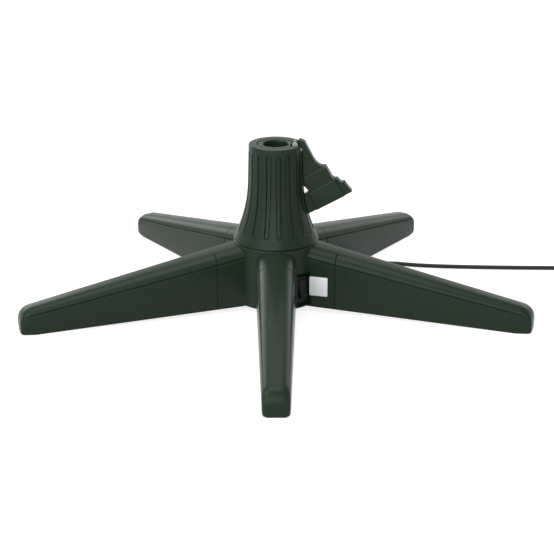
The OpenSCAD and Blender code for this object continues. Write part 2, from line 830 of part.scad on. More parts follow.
// The column's outer outline, grown or shrunk by an offset
function column_outline(grow) = concat(
    [for (z = flare_z) [shell_r(z) + grow, z]],
    [[shell_r(rim_h - rim_round) + grow, rim_h - rim_round]],
    [for (a = [30:30:90])
        [shell_r(rim_h - rim_round) + grow - rim_round*(1 - cos(a)), rim_h - rim_round*(1 - sin(a))]]
);

module flute_prisms() {
    low = seam_h + flute_low_band + flute_w/2;
    high = rim_h - flute_top_band - flute_w/2;
    for (k = [0:flute_count - 1]) rotate([0, 0, flute_az + 360*k/flute_count])
        rotate([90, 0, 90]) translate([0, 0, rim_r/2]) linear_extrude(height = hub_r) {
            translate([-flute_w/2, low]) square([flute_w, high - low]);
            translate([0, low]) circle(d = flute_w);
            translate([0, high]) circle(d = flute_w);
        }
}

module shell_bosses() {
    // screw bosses on the shell's inside, standing just clear of the sleeve's flange
    low = flange_z + flange_t + fit_gap;
    intersection() {
        at_each(shell_screw_r, shell_screw_az) difference() {
            union() {
                disc(shell_boss_r, low, low + shell_boss_h);
                translate([0, -sleeve_rib_t/2, low]) cube([12, sleeve_rib_t, shell_boss_h]);
            }
            disc(small_screw[0] + screw_gap, low - 1, low + shell_boss_h - 2);
        }
        rotate_extrude() polygon(concat(
            [[0, seam_h], [shell_r(seam_h) - column_wall/2, seam_h]],
            [for (k = [1:flare_steps]) [shell_r(flare_z[k]) - column_wall/2, flare_z[k]]],
            [[0, flare_top]]
        ));
    }
}

module column_shell() {
    seat_h = flange_z + flange_t - seam_h + 1;
    lip_z = rim_h - collar_h;
    color(dark_green) union() {
        shell_bosses();
        difference() {
            rotate_extrude() polygon(concat(
                column_outline(0),
                [[lip_r, rim_h], [lip_r, lip_z], [shell_r(lip_z) - column_wall, lip_z]],
                [for (k = [flare_steps:-1:1]) if (flare_z[k] > seam_h + seat_h)
                    [shell_r(flare_z[k]) - column_wall, flare_z[k]]],
                [[shell_r(seam_h + seat_h) - column_wall, seam_h + seat_h],
                 [flange_r + fit_gap, seam_h + seat_h], [flange_r + fit_gap, seam_h]]
            ));
            intersection() {
                flute_prisms();
                rotate_extrude() polygon(concat(
                    [for (z = flare_z) [shell_r(z) - flute_depth, z]],
                    [[shell_r(rim_h) - flute_depth, rim_h], [shell_r(rim_h) + 1, rim_h]],
                    [for (k = [flare_steps:-1:0]) [shell_r(flare_z[k]) + 1, flare_z[k]]]
                ));
            }
            rotate([0, 0, notch_az]) translate([lip_r - 2, -notch_w/2, rim_h - notch_h])
                cube([20, notch_w, notch_h + 1]);
        }
    }
}

module pole_sleeve() {
    floor_z = flange_z + floor_t;
    sleeve_r = pole_r + sleeve_wall;
    rib_r = shell_r(rim_h) - column_wall - 0.6;
    color(dark_green) difference() {
        union() {
            disc(sleeve_r, flange_z, rim_h);
            disc(flange_r, flange_z, flange_z + flange_t);
            disc(collar_r, rim_h - collar_h, rim_h);
            for (a = [0:60:300]) rotate([0, 0, a + 16])
                translate([pole_r + 1, -sleeve_rib_t/2, flange_z])
                    cube([rib_r - pole_r - 1, sleeve_rib_t, rim_h - collar_h - 6 - flange_z]);
        }
        disc(pole_r, floor_z, rim_h + 1);
        translate([0, 0, rim_h - 1.5]) cylinder(r1 = pole_r, r2 = pole_r + 1.6, h = 1.6);
        disc(disc_screw[0] + screw_gap, flange_z - 1, flange_z + floor_t - 1.6);
        at_each(gear_screw_r, [45:90:315])
            disc(small_screw[0] + screw_gap, flange_z - 1, flange_z + flange_t - 0.6);
        at_each(shell_screw_r, shell_screw_az) {
            disc(small_screw[1] + 0.2, flange_z - 1, flange_z + small_screw[2] + 0.2);
            disc(small_screw[0] + 0.2, flange_z - 1, flange_z + flange_t + 1);
        }
        rotate([0, 0, notch_az]) translate([sleeve_r, -notch_w/2, rim_h - notch_h])
            cube([20, notch_w, notch_h + 1]);
    }
}

module lead_grommet() {
    // light clip in the rim's notch, whose two lugs carry the block's hinge pin
    base_z = rim_h - notch_h + 0.1;
    half = eye_w/2 + 0.15 + lug_t;
    color(grey_plastic) rotate([0, 0, block_az]) {
        translate([pole_r + sleeve_wall + 0.15, -half, base_z])
            cube([rim_r - pole_r - sleeve_wall - 0.6, 2*half, 3]);
        for (s = [-1, 1]) translate([hinge_r, s*(half - lug_t/2), 0]) {
            translate([0, lug_t/2, hinge_z]) rotate([90, 0, 0]) cylinder(r = lug_r, h = lug_t);
            translate([-lug_r, -lug_t/2, base_z]) cube([2*lug_r, lug_t, hinge_z - base_z]);
        }
        translate([hinge_r, half - 0.5, hinge_z]) rotate([90, 0, 0])
            cylinder(r = eye_pin_r, h = 2*half - 1);
    }
}

module shell_screws() {
    color(steel) at_each(shell_screw_r, shell_screw_az)
        screw_up(flange_z + small_screw[2] + 0.2, small_screw, flange_t + 4);
}

// ------------------------------------------------------------ outlet block

// One half of the block's outline, from its lower face up to its neck
block_half = [
    [block_w/2, 0], [block_w/2 - 2.9, 16.5], [block_w/2 - 6.6, 17], [block_w/2 - 7.3, 20.2],
    [block_w/2 - 8.2, 24.4], [block_w/2 - 11.8, 25.6], [block_w/2 - 13.4, 28], [block_w/2 - 13.6, 45.3],
    [neck_half_w + 7, 46.4], [neck_half_w + 3.2, 49.4], [neck_half_w + 1, 54.8], [neck_half_w, 60.8]
];
block_neck = [[9, 86], [4.4, 92]];

// A point of the block, from its own X across and Y up to the radial plane
function block_point(p) = [block_mid_r + p[0]*cos(block_lean) - p[1]*sin(block_lean),
                           block_mid_z + p[0]*sin(block_lean) + p[1]*cos(block_lean)];

module at_plane() {
    rotate([0, 0, block_az]) rotate([90, 0, 0]) children();
}

module at_block() {
    at_plane() translate([block_mid_r, block_mid_z, 0]) rotate(block_lean) children();
}

module block_outline() {
    step_z = rim_h - notch_h + 2.2;
    wall_r = shell_r(step_z) + block_clear;
    difference() {
        polygon(concat(
            [for (p = concat(block_half, block_neck)) block_point(p)],
            [[neck_r - 0.4, hinge_z + 6], [neck_r, hinge_z - 0.6], [neck_r + 1.2, hinge_z - 2.6],
             [wall_r - 1.2, step_z + 2], [wall_r, step_z], [wall_r, block_mid_z + block_back_h]],
            [for (i = [len(block_half) - 2:-1:0]) block_point([-block_half[i][0], block_half[i][1]])]
        ));
        // the block's back follows the column's wall
        polygon(concat(
            [[0, step_z], [0, seam_h]],
            [for (z = flare_z) [shell_r(z) + block_clear, z]],
            [[wall_r, step_z]]
        ));
    }
}

module slot_pair() {
    for (s = [0, 1]) translate([(s - 0.5)*slot_spacing - slot_t/2, -eps, -slot_h[s]/2])
        cube([slot_t, slot_depth + eps, slot_h[s]]);
}

module block_slots() {
    slot_pair();
    for (m = [0, 1]) mirror([m, 0, 0])
        translate([block_w/2 - 1.6, side_outlet_y, 0]) rotate([0, 0, 80]) slot_pair();
}

// One half of the block: its three tiers stand out further towards the lower face
module tap_half(side) {
    difference() {
        at_plane() mirror([0, 0, side]) for (tier = block_tiers)
            translate([0, 0, parting/2]) linear_extrude(height = tier[0] - parting/2) intersection() {
                block_outline();
                translate([block_mid_r, block_mid_z]) rotate(block_lean) polygon([
                    [-tier[2], -1], [tier[2], -1], [tier[3], tier[1]], [-tier[3], tier[1]]
                ]);
            }
        at_block() block_slots();
    }
}

module tap_front() {
    color(dark_green) tap_half(0);
}

module tap_back() {
    color(dark_green) tap_half(1);
}

module tap_contacts() {
    color(brass) at_block() for (s = [-0.5, 0.5])
        translate([s*slot_spacing - 0.4, 6, -3]) cube([0.8, slot_depth - 7, 6]);
}

module tap_lead() {
    // moulded end of the block's lead, with the eye that it swings on
    color(black_plastic) at_plane() translate([hinge_r, hinge_z, -eye_w/2]) difference() {
        linear_extrude(height = eye_w) {
            circle(r = eye_r);
            polygon([[0, eye_r], [-0.6, eye_r - 0.3], [0, 0], [2, -1], [neck_r - hinge_r - 0.25, 0.2],
                     [neck_r - hinge_r - 0.55, 5.4]]);
        }
        translate([0, 0, -1]) cylinder(r = eye_pin_r + pin_gap, h = eye_w + 2);
    }
}

// ---------------------------------------------------------- cord and plug

module cord_run() {
    color(black_plastic) sweep(cord_route, cord_r, 8);
}

module cord_coil() {
    high = coil_layers*cord_d + 0.3;
    edge = 2;
    color(black_plastic) translate([coil_x, coil_y, 0.1]) rotate_extrude() polygon([
        [coil_inner_r - cord_r + edge, 0], [coil_outer_r + cord_r - edge, 0],
        [coil_outer_r + cord_r, edge], [coil_outer_r + cord_r, high - edge],
        [coil_outer_r + cord_r - edge, high], [coil_inner_r - cord_r + edge, high],
        [coil_inner_r - cord_r, high - edge], [coil_inner_r - cord_r, edge]
    ]);
}

module cord_tail() {
    color(black_plastic) sweep(tail_route, cord_r, 8);
}

module plug_body() {
    mid_z = plug_t/2 + 0.1;
    color(black_plastic) translate([plug_x, plug_y, mid_z]) {
        rotate([-90, 0, 0]) cylinder(r1 = 5.4, r2 = cord_r + 0.8, h = plug_cone);
        rotate([90, 0, 0]) difference() {
            linear_extrude(height = plug_len) polygon([
                [-plug_w/2 + 3, -plug_t/2], [plug_w/2 - 3, -plug_t/2], [plug_w/2, -plug_t/2 + 3],
                [plug_w/2, plug_t/2 - 3], [plug_w/2 - 3, plug_t/2], [-plug_w/2 + 3, plug_t/2],
                [-plug_w/2, plug_t/2 - 3], [-plug_w/2, -plug_t/2 + 3]
            ]);
            for (s = [-1, 1]) translate([s*(plug_w/2 + 1.4), 0, plug_len*0.35]) rotate([90, 0, 0])
                cylinder(r = 3.4, h = plug_t + 2, center = true);
        }
    }
}

module plug_blades() {
    color(brass) for (s = [-1, 1])
        translate([plug_x + s*blade_spacing/2 - blade[0]/2, plug_y - plug_len - blade[1],
                   plug_t/2 + 0.1 - blade[2]/2]) cube(blade);
}

base_housing();
base_cover();
rotate([0, 0, leg_az[0]]) leg();  // leg_front
rotate([0, 0, leg_az[1]]) leg();  // leg_right
rotate([0, 0, leg_az[2]]) leg();  // leg_back_right
rotate([0, 0, leg_az[3]]) leg();  // leg_back_left
rotate([0, 0, leg_az[4]]) leg();  // leg_left
leg_screws();
cover_screws();
lower_race();
bearing_balls();
ball_cage();
upper_race();
motor_bracket();
bracket_screws();
gear_case();
motor_can();
motor_screws();
output_shaft();
drive_pinion();
ring_gear();
gear_screws();
retaining_ring();
slip_disc();
slip_rings();
slip_disc_screw();
brush_block();
brushes();
column_shell();
pole_sleeve();
shell_screws();
lead_grommet();
tap_lead();
tap_front();
tap_back();
tap_contacts();
switch_body();
switch_rocker();
blank_label();
cord_gland();
cord_run();
cord_coil();
cord_tail();
plug_body();
plug_blades();
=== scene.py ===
# A rotating stand for an artificial tree, dressed over its solid frame.
# Shapes are drawn in millimetres, Z up, with the pole's axis on Z and the camera towards -Y.
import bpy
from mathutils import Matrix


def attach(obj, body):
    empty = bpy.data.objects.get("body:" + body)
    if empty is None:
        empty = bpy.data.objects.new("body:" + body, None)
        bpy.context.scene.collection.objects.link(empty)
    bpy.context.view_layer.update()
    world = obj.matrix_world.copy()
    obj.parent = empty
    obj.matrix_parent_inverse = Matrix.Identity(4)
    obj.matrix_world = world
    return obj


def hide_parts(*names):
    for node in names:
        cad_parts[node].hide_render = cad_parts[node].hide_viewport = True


bl_info = {
    "name": "Rotating Tree Stand",
    "version": (1, 0, 0),
    "blender": (4, 5, 0),
    "location": "View3D > Sidebar > Tree Stand",
    "description": "Five-legged turning tree stand with a fluted column and an outlet block",
    "category": "Object",
}

from math import copysign, cos, hypot, pi, radians, sin, sqrt, tau

import bmesh
import bpy
from bpy.props import FloatProperty, FloatVectorProperty, IntProperty, PointerProperty
from bpy.types import Operator, Panel, PropertyGroup
from mathutils import Matrix, Vector

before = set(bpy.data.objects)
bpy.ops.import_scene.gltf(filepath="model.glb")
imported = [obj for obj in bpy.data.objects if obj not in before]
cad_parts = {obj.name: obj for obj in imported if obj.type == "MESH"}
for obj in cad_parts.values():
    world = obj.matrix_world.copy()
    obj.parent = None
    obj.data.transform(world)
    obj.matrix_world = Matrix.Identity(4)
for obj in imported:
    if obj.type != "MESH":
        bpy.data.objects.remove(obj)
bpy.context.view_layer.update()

MM = 0.001
MERGE = 0.0008  # points nearer than this, in millimetres, become one
SHARP_ANGLE = 32  # edges that turn by more degrees stay crisp
WHITE = (1, 1, 1, 1)

# Directions about the pole's axis, in degrees from +X
LEG_DIRECTIONS = {
    "leg_front": -90, "leg_right": -18, "leg_back_right": 54, "leg_back_left": 126, "leg_left": 198,
}
LEGS = tuple(LEG_DIRECTIONS.values())
PANELS = (-54, 18, 90, 162, 234)
POSTS = range(0, 360, 72)
SWITCH_DIRECTION = -54
GLAND_DIRECTION = 18
BLOCK_DIRECTION = -6
NOTCH_DIRECTION = -9
FLUTE_START = -84.6

# Hub: a drum with a deck on top
HUB_RADIUS = 55.5
HUB_WALL = 3.0
HUB_INSIDE = HUB_RADIUS - HUB_WALL
HUB_LOW = 7.2
HUB_TOP = 88.6
HUB_BROW = 2.4  # rounding of its upper edge
DECK_LOW = 78.8
DECK_TOP = 81.8
DECK_OPENING = 41.2
COVER_TOP = 10.4
BOSS_AT = HUB_INSIDE - 3.9
BOSS_RADIUS = 4.2
SCREW_HOLE = 1.6
GLAND_HEIGHT = 22.0
SWITCH_HEIGHT = 32.0

# Legs. Their section at the tip and at the root: half width at the foot and at the crease,
# height of the top and of the crease
LEG_AT_TIP = (15.7, 15.2, 30.6, 24.1)
LEG_AT_ROOT = (25.4, 23.9, 87.0, 74.0)
LEG_REACH = 340.0
LEG_ROOT = 50.0
LEG_WALL = 2.6
LEG_FLAT = 0.4  # share of the half width that is flat on top
CREASE_OUT = 0.5  # the wall stands proud of the crease
CREASE_LOW = 2.4  # and ends this far below it
TIP_ROLL = 15.0  # distance from the end over which the top rolls down
TIP_CORNER = 5.0
TIP_FOOT = 3.0
SHOULDER_STEPS = 12
SHOULDER_ANGLE = radians(25)
STUB_END = 87.0
JOINT_GROOVE = 0.6
POCKETS = 5
RIB = 2.0
TONGUE_START = 59.0
TONGUE_GAP = 0.3
WEB_LOW, WEB_TOP = 40.0, 43.0  # the web that a leg's screw holds
LEG_SCREW_AT = 68.0
STUB_BOSS = 5.0  # radius of the boss that it bites into
LABEL_ALONG, LABEL_HEIGHTS = (53.6, 77.6), (22.8, 48.8)
BELOW = -5.0  # hollows start below the floor, so they open downwards

# Column and sleeve
SEAM = 89.8
RIM_TOP = 215.3
RIM_RADIUS = 34.7
RIM_ROUND = 1.2
COLUMN_WALL = 3.0
COLUMN_DRAFT = 0.0245
FLARE_TOP = 170.0
FLARE_POWER = 2.15
LIP_RADIUS = 24.2
FLUTES = 18
FLUTE_LOW = SEAM + 11.4
FLUTE_HIGH = RIM_TOP - 7.8
FLANGE_LOW = 90.2
FLANGE_TOP = FLANGE_LOW + 5
POST_AT = 42.0
SLEEVE_RADIUS = 19.7
COLLAR_RADIUS = 22.8
COLLAR_LOW = RIM_TOP - 4.3
NOTCH_HALF = 10.5
NOTCH_LOW, NOTCH_HIGH = RIM_TOP - 8, RIM_TOP + 4

# Outlet block, in the upright plane that it hangs in: distance from the axis, and height
BLOCK_LEAN = 29.4
BLOCK_MIDDLE = (71.7, 140.1)
BLOCK_GAP = 0.2  # between the block and the column
HINGE_HEIGHT = 215.4
NECK_AT = 30.2
OUTLET_AT = 8.6  # height of the side outlets on the block

# Cord: its route along the floor, its coil and its end
CORD_ROUTE = [
    (80.8, 26.3, 22), (93, 31, 19), (104, 39, 14), (113, 50, 9), (119.5, 63, 5), (124, 77, 3),
    (128, 91, 3), (133.5, 105, 3), (142.5, 117, 3), (154.5, 125, 3), (168, 126, 3), (181, 123, 3),
    (194, 120, 3), (208, 117.5, 3), (222, 115.5, 3), (237, 113.8, 3), (252, 112.5, 3),
    (268, 111.3, 3), (284, 110.3, 3), (300, 109.4, 3), (316, 108.6, 3), (332, 107.9, 3),
    (348, 107.3, 3), (364, 106.8, 3), (380, 106.4, 3), (396, 106.1, 3), (412, 106, 3),
    (430, 106, 3),
]
COIL_CENTRE = (442.0, 64.3)
COIL_OUTER, COIL_INNER = 41.7, 24.3
COIL_TURNS = 3
COIL_STEPS = 16  # points in one turn
LAYER_LOW, LAYER_HIGH = 3.0, 9.0
PLUG_AT = (483.7, 20, 7.1)  # where the cord goes in
PLUG_FRONT = -8.0
CORD_TAIL = [(PLUG_AT[0], y, z)
             for y, z in ((56, 9), (50, 8.8), (44, 8.3), (38, 7.7), (33.5, 7.2))]
BLADE_SPACING = 12.7

# Camera, floor and lamps, in metres and watts
CAMERA_PLACE = (0.00126, -1.5809, 0.6549)
CAMERA_TILT, CAMERA_ROLL = 68.5, -0.15
CAMERA_LENS = 83.19
FLOOR_LEVEL = -0.0004  # just below the feet
FLOOR_GREY = (0.4, 0.4, 0.4, 1)
FLOOR_LIFT = 0.82
LAMP_AIM = (0, 0, 0.1)
LAMPS = (
    # name, place, size, power
    ("top_light", (-0.2, 0.0, 2.2), 1.6, 26),
    ("front_light", (-1.1, -3.5, 1.6), 4.0, 130),
    ("key_light", (-1.3, -0.7, 1.6), 0.7, 13),
    ("back_light", (0, 2.0, 2.0), 1.4, 8),
    ("back_left_light", (-1.25, 1.6, 0.8), 0.9, 7),
    ("back_right_light", (1.25, 1.6, 0.8), 0.9, 3.5),
)


def linear(code):
    """One sRGB hex colour as linear red, green and blue."""
    parts = [int(code[i:i + 2], 16)/255 for i in (0, 2, 4)]
    return tuple(p/12.92 if p <= 0.04045 else ((p + 0.055)/1.055)**2.4 for p in parts)


# -------------------- settings

def length(name, description, default, low, high):
    """A length in metres that the panel shows."""
    return FloatProperty(
        name=name, description=description, default=default, min=low, max=high,
        unit="LENGTH", subtype="DISTANCE")


def colour(name, description, code):
    """A colour that the panel shows."""
    return FloatVectorProperty(
        name=name, description=description, default=linear(code), min=0, max=1, subtype="COLOR")


class StandSizes(PropertyGroup):
    """Sizes of the stand's moulded parts"""
    pole_radius: length(
        "Pole bore radius", "Radius of the bore that takes the tree's pole", 0.0165, 0.015, 0.017)
    flute_width: length(
        "Flute width", "Width of one flute of the column", 0.007, 0.005, 0.008)
    flute_depth: length(
        "Flute depth", "Depth of one flute of the column", 0.0016, 0.0008, 0.0016)
    edge_round: length(
        "Edge rounding", "Rounding of the moulded edges", 0.0004, 0.0001, 0.001)
    cord_diameter: length(
        "Cord diameter", "Diameter of the mains cord", 0.0058, 0.005, 0.006)
    block_width: length(
        "Outlet block width", "Width of the outlet block's lower face", 0.062, 0.06, 0.063)
    block_thickness: length(
        "Outlet block thickness", "Thickness of the outlet block", 0.016, 0.014, 0.016)
    turn_steps: IntProperty(
        name="Turning steps", description="Steps of one turn, a multiple of the flutes",
        default=108, min=54, max=216)


class StandColours(PropertyGroup):
    """Colours of the stand's materials"""
    body_green: colour("Body green", "Dark green of the moulded plastic", "1F2E22")
    cord_green: colour("Cord green", "Blackish green of the vinyl cord", "1D231F")
    # the switch's own black, darkened further as painted shade for the niche it sits in
    switch_black_and_shade: colour("Switch black", "Black of the switch", "101311")
    clip_grey: colour("Clip grey", "Pale grey of the clip in the rim", "A3ABA5")
    sticker_white: colour("Sticker white", "Cool white of the blank sticker", "F3F6F7")


def sizes():
    return bpy.context.scene.stand_sizes


# -------------------- materials

def add(tree, kind, links=None, **settings):
    """A node with its settings, its constant inputs and its links."""
    made = tree.nodes.new(kind)
    for name, value in settings.items():
        setattr(made, name, value)
    for key, value in (links or {}).items():
        if isinstance(value, bpy.types.NodeSocket):
            tree.links.new(value, made.inputs[key])
        else:
            made.inputs[key].default_value = value
    return made


def noise(tree, place, grain, detail, roughness=0.5, distortion=0.0):
    """A noise pattern, its grain in millimetres."""
    return add(tree, "ShaderNodeTexNoise", {
        "Vector": place, "Scale": 1/(grain*MM), "Detail": detail, "Roughness": roughness,
        "Distortion": distortion}).outputs["Fac"]


def ranged(tree, value, low, high, start=0.0, end=1.0):
    """A value that goes from low to high while another goes from start to end."""
    return add(tree, "ShaderNodeMapRange", {
        "Value": value, "From Min": start, "From Max": end, "To Min": low, "To Max": high,
    }).outputs["Result"]


def maths(tree, operation, a, b):
    return add(tree, "ShaderNodeMath", {0: a, 1: b}, operation=operation).outputs[0]


def fresh_material(name, base, roughness, metallic=0.0, ior=1.5, shine=0.5):
    """A material with its shader, ready for its pattern, and the object's coordinates."""
    made = bpy.data.materials.new(name)
    made.use_nodes = True
    tree = made.node_tree
    shader = next(n for n in tree.nodes if n.type == "BSDF_PRINCIPLED")
    shader.inputs["Base Color"].default_value = (*base, 1)
    shader.inputs["Roughness"].default_value = roughness
    shader.inputs["Metallic"].default_value = metallic
    if metallic == 0:
        shader.inputs["IOR"].default_value = ior
        shader.inputs["Specular IOR Level"].default_value = shine
    place = add(tree, "ShaderNodeTexCoord").outputs["Object"]
    return made, tree, shader, place


def tinted(tree, shader, pattern, base, low, high):
    """Lets a pattern mix the base colour between a darker and a lighter tone."""
    dark, light = ((*(min(1.0, c*factor) for c in base), 1) for factor in (low, high))
    ramp = add(tree, "ShaderNodeMix", {"Factor": pattern, "A": dark, "B": light}, data_type="RGBA")
    tree.links.new(ramp.outputs["Result"], shader.inputs["Base Color"])


def graded(tree, shader, pattern, low, high):
    """Lets a pattern move the roughness between two values."""
    tree.links.new(ranged(tree, pattern, low, high), shader.inputs["Roughness"])


def embossed(tree, shader, pattern, strength, height):
    """Lets a pattern raise the surface by a height in metres."""
    bump = add(tree, "ShaderNodeBump", {
        "Height": pattern, "Strength": strength, "Distance": height})
    tree.links.new(bump.outputs["Normal"], shader.inputs["Normal"])


def moulded_polystyrene(name, base, orange_peel=1.1):
    """High-impact polystyrene from a polished mould: an even dark colour, soft broad reflections,
    a faint orange-peel ripple about a millimetre across, and a few duller patches."""
    made, tree, shader, place = fresh_material(name, base, 0.32, ior=1.52, shine=0.12)
    # flow marks of the melt, some 9 mm apart, only just change the tone
    tinted(tree, shader, noise(tree, place, 9, 4, distortion=0.8), base, 0.9, 1.12)
    graded(tree, shader, noise(tree, place, 38, 3), 0.27, 0.38)
    embossed(tree, shader, noise(tree, place, orange_peel, 2, 0.45), 0.35, 0.00003)
    return made


def soft_vinyl(base):
    """Extruded vinyl of the cord and its moulded ends: matt, waxy, with faint drag marks."""
    made, tree, shader, place = fresh_material("soft_vinyl", base, 0.5, ior=1.53, shine=0.25)
    drag = noise(tree, place, 1.6, 3)
    tinted(tree, shader, drag, base, 0.85, 1.2)
    graded(tree, shader, drag, 0.44, 0.58)
    embossed(tree, shader, drag, 0.25, 0.00005)
    return made


def black_nylon(base):
    """Moulded nylon of the switch and the brush gear: black, finely spark-textured and matt."""
    made, tree, shader, place = fresh_material("black_nylon", base, 0.5, ior=1.53, shine=0.2)
    # the spark texture's real pits are 0.05 mm, too fine to show, so they are drawn at 0.3 mm
    pits = add(tree, "ShaderNodeTexVoronoi", {"Vector": place, "Scale": 1/(0.3*MM)})
    graded(tree, shader, pits.outputs["Distance"], 0.42, 0.6)
    embossed(tree, shader, pits.outputs["Distance"], 0.3, 0.00003)
    return made


def moulded_acetal(name, base, roughness):
    """Acetal of the clip, the gears and the ball cage: waxy, a little translucent, softly shiny."""
    made, tree, shader, place = fresh_material(name, base, roughness, ior=1.48)
    shader.inputs["Subsurface Weight"].default_value = 0.08
    shader.inputs["Subsurface Scale"].default_value = 0.0015
    cloud = noise(tree, place, 4, 3)
    tinted(tree, shader, cloud, base, 0.94, 1.04)
    graded(tree, shader, cloud, roughness - 0.05, roughness + 0.06)
    return made


def coated_paper(base):
    """Coated sticker stock: flat white, with faint fibre mottling half a millimetre across."""
    made, tree, shader, place = fresh_material("coated_paper", base, 0.55)
    fibre = noise(tree, place, 0.5, 5, 0.7)
    tinted(tree, shader, fibre, base, 0.95, 1.03)
    graded(tree, shader, fibre, 0.5, 0.62)
    embossed(tree, shader, fibre, 0.2, 0.00002)
    return made


def plated_metal(name, code, low, high, grain, stretch):
    """Plated or pressed metal: a clear shine broken by fine rolling lines and dull blotches."""
    base = linear(code)
    made, tree, shader, place = fresh_material(name, base, (low + high)/2, metallic=1.0)
    lines = add(tree, "ShaderNodeMapping", {"Vector": place, "Scale": stretch})
    brushed = noise(tree, lines.outputs["Vector"], grain, 4)
    tinted(tree, shader, brushed, base, 0.86, 1.08)
    graded(tree, shader, brushed, low, high)
    embossed(tree, shader, brushed, 0.15, 0.00002)
    return made


FINISHES = {
    "body": lambda c: moulded_polystyrene("moulded_polystyrene", c.body_green),
    "inner": lambda c: moulded_polystyrene("moulded_polystyrene_inner", c.body_green, 1.6),
    "vinyl": lambda c: soft_vinyl(c.cord_green),
    "nylon": lambda c: black_nylon(c.switch_black_and_shade),
    "clip": lambda c: moulded_acetal("grey_acetal", c.clip_grey, 0.3),
    "acetal": lambda c: moulded_acetal("natural_acetal", linear("D9D8CE"), 0.4),
    "paper": lambda c: coated_paper(c.sticker_white),
}
# Metals: name, colour, roughness from and to, grain in millimetres and its stretch
METALS = {
    "zinc": ("zinc_plated_steel", "B9BDBE", 0.26, 0.42, 0.6, (1, 1, 0.2)),
    "ground": ("ground_steel", "C4C6C7", 0.12, 0.2, 2.0, (1, 1, 1)),
    "brass": ("pressed_brass", "C9AC62", 0.24, 0.38, 0.8, (1, 0.3, 1)),
    # a phosphate coating is almost matt, with crystals drawn at 0.7 mm
    "phosphate": ("phosphated_steel", "5C6061", 0.5, 0.68, 0.7, (1, 1, 1)),
    "carbon": ("pressed_carbon", "4A4A4C", 0.45, 0.6, 0.5, (1, 1, 0.3)),
}
MATERIALS = {}


def material(finish):
    """Makes each material once, when the first piece asks for it."""
    if finish not in MATERIALS and finish in METALS:
        MATERIALS[finish] = plated_metal(*METALS[finish])
    elif finish not in MATERIALS:
        MATERIALS[finish] = FINISHES[finish](bpy.context.scene.stand_colours)
    return MATERIALS[finish]


# -------------------- mesh helpers

def round_in(radius, distance):
    """How far a rounded edge has drawn in, at a distance from its end."""
    if distance >= radius:
        return 0.0
    return radius - sqrt(radius*radius - (radius - distance)**2)


def quarter_round(r, z, radius):
    """Points round an upper outer edge, from its upright side to its top."""
    turns = [radians(15*k) for k in range(7)]
    return [(r - radius*(1 - cos(a)), z - radius*(1 - sin(a))) for a in turns]


def mix(a, b, t):
    return a + (b - a)*t


def turned(degrees, axis="Z"):
    return Matrix.Rotation(radians(degrees), 4, axis)


def moved(x, y, z):
    return Matrix.Translation((x, y, z))


def meshed(name, shape):
    """A new mesh of a shape. The shape is used up."""
    mesh = bpy.data.meshes.new(name)
    shape.to_mesh(mesh)
    shape.free()
    return mesh


def linked(name, data):
    """A new object in the scene."""
    made = bpy.data.objects.new(name, data)
    bpy.context.collection.objects.link(made)
    return made


def merged(shape):
    """Merges doubles and turns the faces outwards."""
    bmesh.ops.remove_doubles(shape, verts=shape.verts, dist=MERGE)
    bmesh.ops.recalc_face_normals(shape, faces=shape.faces)
    return shape


def rounded(shape, edges, radius, segments=3, clamp=False):
    """Rounds some edges of a shape."""
    bmesh.ops.bevel(
        shape, geom=edges, offset=radius, segments=segments, profile=0.5, affect="EDGES",
        clamp_overlap=clamp, material=-1)


def edges_where(shape, test):
    """The edges with both ends at places that pass a test."""
    return [e for e in shape.edges if all(test(v.co) for v in e.verts)]


def joined(*shapes):
    """One bmesh from several shapes, or (shape, place) pairs. The shapes are used up."""
    whole = bmesh.new()
    for shape in shapes:
        shape, place = shape if isinstance(shape, tuple) else (shape, Matrix())
        shape.transform(place)
        mesh = meshed("part", shape)
        whole.from_mesh(mesh)
        bpy.data.meshes.remove(mesh)
    return whole


def around(directions, maker, *args, out=0.0):
    """A copy of a shape in each direction, moved out from the axis, as (shape, place) pairs."""
    return [(maker(*args), turned(a) @ moved(out, 0, 0)) for a in directions]


def lofted(rings):
    """A closed shape through rings of equal numbers of points."""
    shape = bmesh.new()
    count, rows = len(rings[0]), len(rings) - 1
    grid = bmesh.ops.create_grid(shape, x_segments=count, y_segments=rows, size=0.5)["verts"]
    for vert in grid:
        i = round((vert.co.x + 0.5)*count) % count
        j = round((vert.co.y + 0.5)*rows)
        vert.co = rings[j][i]
    bmesh.ops.remove_doubles(shape, verts=shape.verts, dist=MERGE)
    bmesh.ops.holes_fill(shape, edges=[e for e in shape.edges if e.is_boundary], sides=0)
    return merged(shape)


def turned_shape(profile, steps, closed=True, start=0.0):
    """A profile of (radius, height) points turned once round Z."""
    shape = bmesh.new()
    first = turned(start)
    verts = [shape.verts.new(first @ Vector((r, 0, z))) for r, z in profile]
    edges = [shape.edges.new(pair) for pair in zip(verts, verts[1:])]
    if closed:
        edges.append(shape.edges.new((verts[-1], verts[0])))
    bmesh.ops.spin(
        shape, geom=verts + edges, cent=(0, 0, 0), axis=(0, 0, 1), dvec=(0, 0, 0),
        angle=tau, steps=steps, use_merge=True)
    return merged(shape)


def cylinder(radius, z0, z1):
    shape = bmesh.new()
    bmesh.ops.create_cone(
        shape, cap_ends=True, segments=32, radius1=radius, radius2=radius, depth=z1 - z0,
        matrix=moved(0, 0, (z0 + z1)/2))
    return shape


def brick(x0, x1, y0, y1, z0, z1, edge=0.0):
    """A block between two corners, with its edges rounded if asked."""
    shape = bmesh.new()
    bmesh.ops.create_cube(shape, size=1, matrix=Matrix.LocRotScale(
        Vector(((x0 + x1)/2, (y0 + y1)/2, (z0 + z1)/2)), None, Vector((x1 - x0, y1 - y0, z1 - z0))))
    if edge:
        rounded(shape, shape.edges[:], edge, clamp=True)
    return shape


